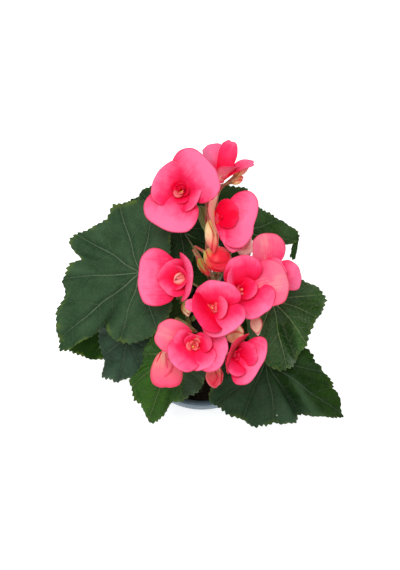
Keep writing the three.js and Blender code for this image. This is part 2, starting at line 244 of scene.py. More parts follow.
class Piece:
    # gathers closed bodies into one object; every vertex carries two sets of three numbers: place, which is
    # where it sits on its own sheet or rod, and shade, which tints the whole body
    def __init__(self):
        self.points, self.faces, self.looks, self.place, self.shade = [], [], [], [], []
        self.count = 0

    def body(self, points, faces, look, place, shade):
        looks = look if isinstance(look, list) else [look] * len(faces)
        offset = self.count
        self.faces += [tuple(i + offset for i in f) for f in faces]
        self.looks += looks
        self.points.append(points)
        self.place.append(np.broadcast_to(place, points.shape))
        self.shade.append(np.broadcast_to(shade, points.shape))
        self.count += len(points)

    def sheet(self, points, grid, thickness, place, shade, looks=(0, 1)):
        # a disc of rings and segments made into a closed sheet: face side, back, and the edge between them
        rings, segments = grid
        faces = discFaces(rings, segments)
        thickness = np.broadcast_to(np.asarray(thickness), (len(points),))
        half = thickness[:, None] * normalsOf(points, faces) / 2
        n = len(points)
        rim = n - segments
        back = [tuple(i + n for i in reversed(f)) for f in faces]
        edge = [(rim + (k + 1) % segments, rim + k, n + rim + k, n + rim + (k + 1) % segments)
                for k in range(segments)]
        place = np.broadcast_to(place, points.shape)
        shade = np.broadcast_to(shade, points.shape)
        kinds = [looks[0]] * len(faces) + [looks[1]] * len(back) + [looks[0]] * len(edge)
        self.body(np.vstack([points + half, points - half]), faces + back + edge, kinds,
                  np.vstack([place, place]), np.vstack([shade, shade]))

    def tube(self, path, radii, look, shade, segments=12):
        # a closed rod along the path with rounded ends
        path = np.asarray(path, float)
        radii = np.broadcast_to(np.asarray(radii, float), (len(path),))
        starts = [path[0] + unit(path[0] - path[1]) * radii[0] * c for c in (0.55, 0.3)]
        ends = [path[-1] + unit(path[-1] - path[-2]) * radii[-1] * c for c in (0.3, 0.55)]
        path = np.vstack([starts, path, ends])
        startRadii, endRadii = [radii[0] * 0.45, radii[0] * 0.85], [radii[-1] * 0.85, radii[-1] * 0.45]
        radii = np.concatenate([startRadii, radii, endRadii])
        along = np.gradient(path, axis=0)
        along /= np.linalg.norm(along, axis=1, keepdims=True)
        side = unit(np.cross(along[0], [0.31, 0.77, 0.55]))
        points, place = [], []
        turns = np.arange(segments) * tau / segments
        length = 0.0
        for k in range(len(path)):
            side = unit(side - along[k] * side.dot(along[k]))
            other = np.cross(along[k], side)
            ring = path[k] + radii[k] * (np.cos(turns)[:, None] * side + np.sin(turns)[:, None] * other)
            length += np.linalg.norm(path[k] - path[k - 1]) if k else 0
            points.append(ring)
            share = k / (len(path) - 1)
            place.append(np.stack([np.full(segments, share), turns, np.full(segments, length)], 1))
        self.body(np.vstack(points), rodFaces(len(path), segments), look, np.vstack(place), shade)

    def make(self, name, looks, node):
        mesh = bpy.data.meshes.new(name)
        mesh.from_pydata((np.vstack(self.points) * mm).tolist(), [], self.faces)
        for look in looks:
            mesh.materials.append(look.material)
        mesh.polygons.foreach_set("material_index", self.looks)
        mesh.polygons.foreach_set("use_smooth", [True] * len(self.faces))
        for label, values in (("place", self.place), ("shade", self.shade)):
            attribute = mesh.attributes.new(label, "FLOAT_VECTOR", "POINT")
            attribute.data.foreach_set("vector", np.vstack(values).astype(np.float32).ravel())
        mesh.update()
        piece = bpy.data.objects.new(name, mesh)
        bpy.context.scene.collection.objects.link(piece)
        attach(piece, "root")
        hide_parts(node)
        return piece


def bumpy(points, size, amount, seed):
    # soft random swelling, the same each run
    rng = np.random.RandomState(seed)
    total = np.zeros(len(points))
    for _ in range(5):
        direction = unit(rng.normal(size=3)) * tau / (size * rng.uniform(0.7, 1.4))
        total += np.sin(points @ direction + rng.uniform(0, tau))
    return amount * total / 3


# Camera, lights and floor

studio = {
    "target": (-1.8, 24.14, 200.0),
    "distance": 1000.0,
    "elevation": 73.0,
    "lens": 72.5,
    "skyStrength": 0.44,
    "keyPower": 9.0,
    "keyPlace": (-0.14, -0.06, 1.35),
    "keySize": 0.45,
    "fillPower": 1.0,
    "fillPlace": (0.7, -0.5, 0.8),
    "fillSize": 0.7,
    "aim": (0.0, 0.02, 0.18),
    "floorGlow": 0.6,
    "floorRings": (0.6, 1.2, 2.4, 7.0, 25.0),
    "floorSides": 48,
}


def makeStudio():
    scene = bpy.context.scene
    target = np.array(studio["target"])
    lift = math.radians(studio["elevation"])
    place = target + studio["distance"] * np.array([0, -math.cos(lift), math.sin(lift)])
    lens = bpy.data.cameras.new("viewCamera")
    lens.lens = studio["lens"]
    lens.sensor_width = 36
    camera = bpy.data.objects.new("viewCamera", lens)
    camera.location = Vector(place * mm)
    camera.rotation_euler = (Vector(target * mm) - camera.location).to_track_quat("-Z", "Y").to_euler()
    scene.collection.objects.link(camera)
    scene.camera = camera
    for kind in ("key", "fill"):
        lamp = bpy.data.lights.new(kind + "Light", "AREA")
        lamp.energy = studio[kind + "Power"]
        lamp.size = studio[kind + "Size"]
        light = bpy.data.objects.new(kind + "Light", lamp)
        light.location = studio[kind + "Place"]
        aim = Vector(studio["aim"]) - light.location
        light.rotation_euler = aim.to_track_quat("-Z", "Y").to_euler()
        scene.collection.objects.link(light)
    world = bpy.data.worlds.new("paleRoom")
    world.use_nodes = True
    sky = world.node_tree.nodes["Background"]
    sky.inputs["Color"].default_value = (1, 1, 1, 1)
    sky.inputs["Strength"].default_value = studio["skyStrength"]
    scene.world = world
    scene.view_settings.view_transform = "Standard"


def makeFloor():
    floorLook = Look("paleFloor", Specular_IOR_Level=0.2, Emission_Strength=studio["floorGlow"],
                     Emission_Color=(1.0, 1.0, 1.0))
    patch = floorLook.noise(60, 2)
    floorLook.finish(floorLook.blend(patch, (0.93, 0.93, 0.93), (0.97, 0.97, 0.97)), 0.8)
    sides, rings = studio["floorSides"], studio["floorRings"]
    turns = [tau * k / sides for k in range(sides)]
    points = [(r * math.cos(turn), r * math.sin(turn), 0) for r in rings for turn in turns]
    faces = [tuple(range(sides))]
    faces += [(a, d, c, b) for a, b, c, d in bandFaces(len(rings), sides)]  # turned to face up
    mesh = bpy.data.meshes.new("floor")
    mesh.from_pydata(points, [], faces)
    mesh.materials.append(floorLook.material)
    floor = bpy.data.objects.new("floor", mesh)
    bpy.context.scene.collection.objects.link(floor)


makeStudio()
makeFloor()
print("studio ready")


# Pot

pot = {
    "height": 110, "rimRadius": 65, "collarHeight": 22, "collarStep": 4, "baseRadius": 45, "wall": 2.2,
    "lipWidth": 3.5, "lipDepth": 4, "ledgeDrop": 3, "footWidth": 5.5, "grooveRise": 3, "plateRadius": 25,
    "drainRadius": 3.5, "drainCount": 6, "drainSides": 28, "drainReach": 8, "sides": 128,
    "colour": (0.1, 0.165, 0.225), "dark": (0.07, 0.12, 0.17), "dust": (0.22, 0.26, 0.28),
}
soil = {
    "depth": 12, "gap": 0.3, "edgeDrop": 1.5, "crumbs": 420, "crumbSizes": (0.9, 1.2, 1.5, 2.0, 2.8),
    "paleShare": 0.07, "sides": 96,
    "dark": (0.006, 0.004, 0.003), "light": (0.035, 0.022, 0.013), "fleck": (0.2, 0.16, 0.11),
}


def rounded(profile, sharp):
    # rounds each corner of a turned profile; sharp lists the corner radii
    out = []
    count = len(profile)
    for k, (corner, radius) in enumerate(zip(profile, sharp)):
        p = np.array(corner, float)
        if radius == 0 or k in (0, count - 1):
            out.append(p)
            continue
        before, after = np.array(profile[k - 1], float) - p, np.array(profile[k + 1], float) - p
        reach = min(radius, np.linalg.norm(before) / 2.1, np.linalg.norm(after) / 2.1)
        a, b = p + unit(before) * reach, p + unit(after) * reach
        for w in (0, 0.25, 0.5, 0.75, 1):
            out.append((1 - w) ** 2 * a + 2 * w * (1 - w) * p + w ** 2 * b)
    return out


def turnedBody(piece, profile, sides, look, wobble=None):
    # profile starts and ends on the axis
    rings = [p for p in profile if p[0] > 1e-6]
    turns = np.arange(sides) * tau / sides
    points = [[0, 0, profile[0][1]]]
    for r, z in rings:
        points += [[r * math.cos(t), r * math.sin(t), z] for t in turns]
    points.append([0, 0, profile[-1][1]])
    points = np.array(points)
    if wobble is not None:
        points = wobble(points)
    x, y, z = points.T
    place = np.stack([np.hypot(x, y), z, np.arctan2(y, x)], 1)
    piece.body(points, ballFaces(len(rings), sides), look, place, (0, 0, 0))


def makePotLook():
    look = Look("greyBluePlastic", Specular_IOR_Level=0.45, IOR=1.46)
    radius, height, turn = look.values("place")
    cloud = look.noise(28, 4)
    grain = look.noise(0.35, 2)
    streak = look.streaks(turn * 22.0, height * 0.05, 1.6, 3.0, 0.5)
    scuff = look.noise(2.2, 5, 1.2).ease(0.66, 0.74)
    low = 1 - height.ease(2.0, 34.0)
    dust = look.noise(7, 5).ease(0.35, 0.85) * (low * 0.6 + 0.1) + scuff * 0.12
    colour = look.blend(cloud, pot["dark"], pot["colour"])
    colour = look.blend(streak.ease(0.45, 0.75) * 0.25, colour, pot["dust"])
    colour = look.blend(dust * 0.6, colour, pot["dust"])
    soilTop, lip = pot["height"] - soil["depth"], pot["rimRadius"] - 4
    innerRimShade = height.ease(soilTop - 4, soilTop) * (1 - height.ease(soilTop + 3, soilTop + 7))
    innerRimShade = innerRimShade * (1 - radius.ease(lip, lip + 1.2))  # painted shade: the wall inside is darkened above the compost, in the recess under the lip
    colour = look.blend(innerRimShade * 0.75, colour, (0.02, 0.016, 0.012))
    roughness = 0.4 + dust * 0.25 + cloud * 0.12
    return look.finish(colour, roughness, grain * 0.6 + streak * 0.7 + scuff * 0.5, 0.06)


def potInside():
    # height of the wall's top and of the floor, and the hollow's radius at the floor and at the wall's top
    wallTop, floorTop = pot["height"] - pot["collarHeight"], pot["grooveRise"] + pot["wall"]
    innerBase = pot["baseRadius"] - pot["wall"] + 0.6
    innerWall = pot["rimRadius"] - pot["collarStep"] - pot["wall"]
    return wallTop, floorTop, innerBase, innerWall


def makePot():
    height, wall = pot["height"], pot["wall"]
    wallTop, floorTop, innerBase, innerWall = potInside()
    top = pot["rimRadius"] - pot["collarStep"]
    inner = pot["rimRadius"] - pot["lipWidth"]
    grooveInner, grooveOuter = pot["plateRadius"] + 2, pot["baseRadius"] - pot["footWidth"]
    # radius, height and rounding of each corner, from the middle of the underside out, up and back in
    plate, base, rim = pot["plateRadius"], pot["baseRadius"], pot["rimRadius"]
    underside = [
        (0, 0, 0), (plate, 0, 0.8), (grooveInner, pot["grooveRise"], 0.8),
        (grooveOuter, pot["grooveRise"], 0.8), (grooveOuter, 0, 0.7), (base, 0, 1.4),
    ]
    outside = [
        (base + 1.1, 9, 0.6), (base + 0.9, 10.2, 0.5), (top - 0.3, wallTop - 2, 0.8),
        (rim - 0.5, wallTop + 0.4, 1.1), (rim, wallTop + 3, 1.0), (rim - 0.1, height - 6.4, 0.5),
        (rim - 0.6, height - 5.9, 0.4), (rim - 0.6, height - 5.0, 0.4), (rim, height - 4.4, 0.5),
        (rim, height, 1.5),
    ]
    inside = [
        (inner, height, 1.2), (inner, height - pot["lipDepth"], 0.8),
        (innerWall, height - pot["lipDepth"] - pot["ledgeDrop"], 0.8), (innerWall, wallTop, 0.6),
        (innerBase, floorTop, 1.2), (grooveInner, floorTop, 0.6), (plate, wall, 0.6), (0, wall, 0),
    ]
    corners = underside + outside + inside
    profile = rounded([c[:2] for c in corners], [c[2] for c in corners])
    piece = Piece()
    turnedBody(piece, profile, pot["sides"], 0)
    shell = piece.make("pot_shell", [makePotLook()], "pot")
    drillHoles(shell, (grooveInner + grooveOuter) / 2, floorTop)


def drillHoles(shell, ringRadius, floorTop):
    # round drain holes, cut right through the raised ring by one mesh of plugs
    plug = Piece()
    r, sides = pot["drainRadius"], pot["drainSides"]
    heights = (-pot["drainReach"], floorTop - 2.4, floorTop + pot["drainReach"])
    for k in range(pot["drainCount"]):
        turn = tau * k / pot["drainCount"]
        centre = np.array([ringRadius * math.cos(turn), ringRadius * math.sin(turn), 0])
        points = [centre + [r * math.cos(tau * j / sides), r * math.sin(tau * j / sides), z]
                  for z in heights for j in range(sides)]
        plug.body(np.array(points), rodFaces(len(heights), sides), 0, (0, 0, 0), (0, 0, 0))
    mesh = bpy.data.meshes.new("drainPlugs")
    mesh.from_pydata((np.vstack(plug.points) * mm).tolist(), [], plug.faces)
    cutter = bpy.data.objects.new("drainPlugs", mesh)
    bpy.context.scene.collection.objects.link(cutter)
    cut = shell.modifiers.new("drainHoles", "BOOLEAN")
    cut.object, cut.operation, cut.solver = cutter, "DIFFERENCE", "EXACT"
    bpy.context.view_layer.update()
    drilled = bpy.data.meshes.new_from_object(shell.evaluated_get(bpy.context.evaluated_depsgraph_get()))
    shell.modifiers.clear()
    shell.data = drilled
    bpy.data.objects.remove(cutter)


def makeSoilLook():
    look = Look("dampCompost", Specular_IOR_Level=0.3)
    crumb = look.cells(1.7)
    fine = look.noise(0.7, 4)
    wide = look.noise(14, 3)
    colour = look.blend(fine.ease(0.35, 0.7), soil["dark"], soil["light"])
    colour = look.blend(wide.ease(0.45, 0.7) * 0.5, colour, soil["dark"])
    kind = look.values("shade")[0]
    colour = look.blend(kind * 0.8, colour, soil["fleck"])
    return look.finish(colour, 0.95 - fine * 0.3, fine - crumb * 0.8, 0.8)


def makeSoil():
    soilTop = pot["height"] - soil["depth"]
    wallTop, floorTop, innerBase, innerWall = potInside()

    def radiusAt(z):
        share = min(1, (z - floorTop) / (wallTop - floorTop))
        return innerBase + share * (innerWall - innerBase) - soil["gap"]

    edge = soilTop - soil["edgeDrop"]
    rim = radiusAt(edge)
    bottom = floorTop + soil["gap"]
    profile = [(0, bottom), (radiusAt(bottom) - soil["gap"], bottom)]
    profile += [(radiusAt(wallTop), wallTop), (rim, edge)]
    profile += [(rim - 6 * w, edge + soil["edgeDrop"] * w) for w in (0.35, 0.7, 1)]
    profile += [(r, soilTop) for r in np.linspace(rim - 8, 3, 24)] + [(0, soilTop)]

    def rough(points):
        top = points[:, 2] > edge + 0.1
        points[:, 2] += top * (bumpy(points, 9, 0.7, 3) + bumpy(points, 3.4, 0.45, 4))
        return points

    piece = Piece()
    turnedBody(piece, profile, soil["sides"], 0, rough)
    rng = random.Random(seeds["soil"])
    for _ in range(soil["crumbs"]):
        turn, reach = rng.uniform(0, tau), (rim - 3) * math.sqrt(rng.random())
        size = rng.choice(soil["crumbSizes"])
        pale = 1.0 if rng.random() < soil["paleShare"] else rng.uniform(0, 0.12)
        centre = (reach * math.cos(turn), reach * math.sin(turn), soilTop + size * 0.25)
        crumbBody(piece, centre, size, rng, pale)
    piece.make("soil_compost", [makeSoilLook()], "soil")


def crumbBody(piece, centre, size, rng, pale):
    # a small rough lump, flattened and turned at random
    rings, sides = 5, 7
    stretch = np.array([rng.uniform(0.7, 1.5), rng.uniform(0.6, 1.1), rng.uniform(0.4, 0.8)]) * size
    spin = rng.uniform(0, tau)
    points = [[0, 0, -1]]
    for r in range(1, rings):
        lift = math.pi * r / rings
        for k in range(sides):
            swell = rng.uniform(0.8, 1.15)
            turn = tau * k / sides
            points.append([swell * math.sin(lift) * math.cos(turn), swell * math.sin(lift) * math.sin(turn),
                           -math.cos(lift) * swell])
    points.append([0, 0, 1])
    points = np.array(points) * stretch
    points = np.stack([points[:, 0] * math.cos(spin) - points[:, 1] * math.sin(spin),
                       points[:, 0] * math.sin(spin) + points[:, 1] * math.cos(spin), points[:, 2]], 1)
    piece.body(points + np.array(centre), ballFaces(rings - 1, sides), 0, (0, 0, 0), (pale, 0, 0))


makePot()
makeSoil()
print("pot and soil made")


# Stems, petioles and stalks

rimHeight = pot["height"]
stems = {  # foot, middle and top, with heights over the rim
    "stem_left": [(-12, 8, -10.8), (-16, 14, 30), (-20, 22, 72)],
    "stem_back": [(8, 18, -10.8), (10, 26, 28), (12, 40, 68)],
    "stem_right": [(15, -4, -10.8), (23, -4, 28), (29, -2, 74)],
    "stem_front": [(-4, -14, -10.8), (-5, -21, 30), (-1, -27, 72)],
}
growth = {  # each stem joint has a share of the way up and a turn for its scale
    "stemRadius": 4.2, "petioleRadius": 2.1, "stalkRadius": 2.2, "pedicelRadius": 1.3, "touchGap": 0.4,
    "receptacleRadius": 4.4, "stemPoints": 46, "stemJoints": ((0.3, 0.4), (0.55, 2.6), (0.8, 4.5)),
    "stemGreen": (0.13, 0.19, 0.03), "stemRed": (0.22, 0.03, 0.015), "stemPale": (0.3, 0.36, 0.12),
    "stalkGreen": (0.2, 0.2, 0.035), "stalkRed": (0.4, 0.035, 0.03), "stalkPale": (0.5, 0.3, 0.16),
}


def rise(point):
    return np.array([point[0], point[1], point[2] + rimHeight], float)


def makeStemLook(name, green, red, pale):
    look = Look(name, Specular_IOR_Level=0.5, Subsurface_Weight=0.08, Subsurface_Radius=(0.6, 0.25, 0.1),
                Subsurface_Scale=2 * mm)
    _, turn, length = look.values("place")
    flush = look.values("shade")[0]
    ribs = look.streaks(turn * 1.6, length * 0.05, 3.0, 4.0, 0.5)
    patch = look.noise(6, 4)
    dots = look.cells(1.1).ease(0.12, 0.32)
    colour = look.blend(ribs.ease(0.35, 0.7), green, pale)
    colour = look.blend((patch.ease(0.35, 0.65) * 0.55 + flush * 0.6).ease(0.15, 0.95), colour, red)
    colour = look.blend((1 - dots) * 0.35, colour, pale)
    return look.finish(colour, 0.36 + patch * 0.22, ribs * 0.7 + dots * 0.5, 0.18)


stemLook = makeStemLook("greenStem", growth["stemGreen"], growth["stemRed"], growth["stemPale"])
stalkLook = makeStemLook("redStalk", growth["stalkGreen"], growth["stalkRed"], growth["stalkPale"])


def makeStem(name, heights):
    path = smoothPath([rise(p) for p in heights], growth["stemPoints"])
    share = np.linspace(0, 1, len(path))
    radii = growth["stemRadius"] * (1 - 0.12 * share)
    for joint, _ in growth["stemJoints"]:
        radii = radii * (1 + 0.13 * np.exp(-((share - joint) / 0.025) ** 2))  # a swollen joint, with a scale
    radii = np.minimum(radii, growth["stemRadius"])
    piece = Piece()
    piece.tube(path[1:-1], radii[1:-1], 0, (0.25, 0.5, 0), 20)
    for joint, turn in growth["stemJoints"]:
        centre = path[int(joint * (len(path) - 1))]
        tip = centre + np.array([5.2 * math.cos(turn), 5.2 * math.sin(turn), 6.5])
        side = np.array([math.cos(turn), math.sin(turn), 0])
        axis = unit(tip - centre + [0, 0, 3])
        points, place = petalPoints(centre + side * 3.2, axis, side, (9, 6), (8, 30), 0.7, (6, 18))
        piece.sheet(points, (6, 18), 0.5, place, (0.1, 0.5, 0), (0, 0))
    piece.make(name + "_skin", [stemLook], name)


def petalPoints(origin, axis, outward, size, opens, cup, grid, shape=None, flare=0.65):
    # a rounded sheet that grows along the axis and bends outward: size is its length and width, opens its
    # lean at base and tip in degrees, and flare how much broader it grows towards its tip
    length, width = size
    out, index = discGrid(*grid)
    turn = tau * index / grid[1]
    s = 0.5 + 0.5 * out * np.cos(turn)
    t = out * np.sin(turn) * (0.925 + flare * (s - 0.5))
    sideways = np.cross(axis, outward)
    a0, a1 = (math.radians(v) for v in opens)
    if abs(a1 - a0) < 0.02:  # the arc below needs some bend
        a1 = a0 + 0.02
    extra = shape(s, t, out, turn) if shape else (0, 0, 0)  # lift, stretch along, stretch across
    s2, t2 = s + extra[1], t * (1 + extra[2])
    bend = a0 + (a1 - a0) * s2
    away = length * (math.cos(a0) - np.cos(bend)) / (a1 - a0)
    along = length * (np.sin(bend) - math.sin(a0)) / (a1 - a0)
    roll = cup * t2
    lift = width / 2 / cup * (1 - np.cos(roll)) + extra[0]
    points = origin + np.outer(away - lift * np.cos(bend), outward)
    points = points + np.outer(width / 2 / cup * np.sin(roll), sideways)
    points = points + np.outer(along + lift * np.sin(bend), axis)
    return points, np.stack([s, t, out], 1)


for stemName, stemPoints in stems.items():
    makeStem(stemName, stemPoints)
print("stems made")


# Leaves

# A leaf's edge is a list of turns round its foot, in degrees from its point, and distances from the foot.
# "from" is where its petiole leaves the stem, as a share of the stem, and "at" is its foot, over the rim.
# Each fold has a turn, a depth and a breadth, and brings painted shade into its valley and a painted
# highlight onto its far bank. Past a share of the leaf's reach across it, a second pair of tones takes over:
# painted light, one side of a folded leaf in the greens that the light gives it there.

def cordate(size):
    # the edge of a plain heart-shaped leaf
    shares = [
        (-165, 0.44), (-140, 0.62), (-112, 0.66), (-85, 0.68), (-60, 0.74), (-36, 0.78), (-17, 0.84), (0, 1),
        (17, 0.86), (36, 0.8), (60, 0.76), (85, 0.7), (112, 0.68), (140, 0.6), (165, 0.42), (180, 0.08),
    ]
    return [(turn, share * size) for turn, share in shares]


# greyGreen and blueGreen mix a painted grey-blue sheen, the sky's reflection, into the leaves' own green
greyGreen = ((0.018, 0.053, 0.019), (0.05, 0.106, 0.05))
deepGreen = ((0.006, 0.03, 0.002), (0.02, 0.056, 0.008))
richGreen = ((0.008, 0.042, 0.001), (0.026, 0.078, 0.006))
blueGreen = ((0.012, 0.042, 0.018), (0.034, 0.082, 0.044))
yellowEdge = (0.13, 0.2, 0.03)
plainLeaf = {"veins": (-125, -80, -40, 0, 40, 80, 125), "tones": deepGreen, "vein": (0.06, 0.1, 0.03)}

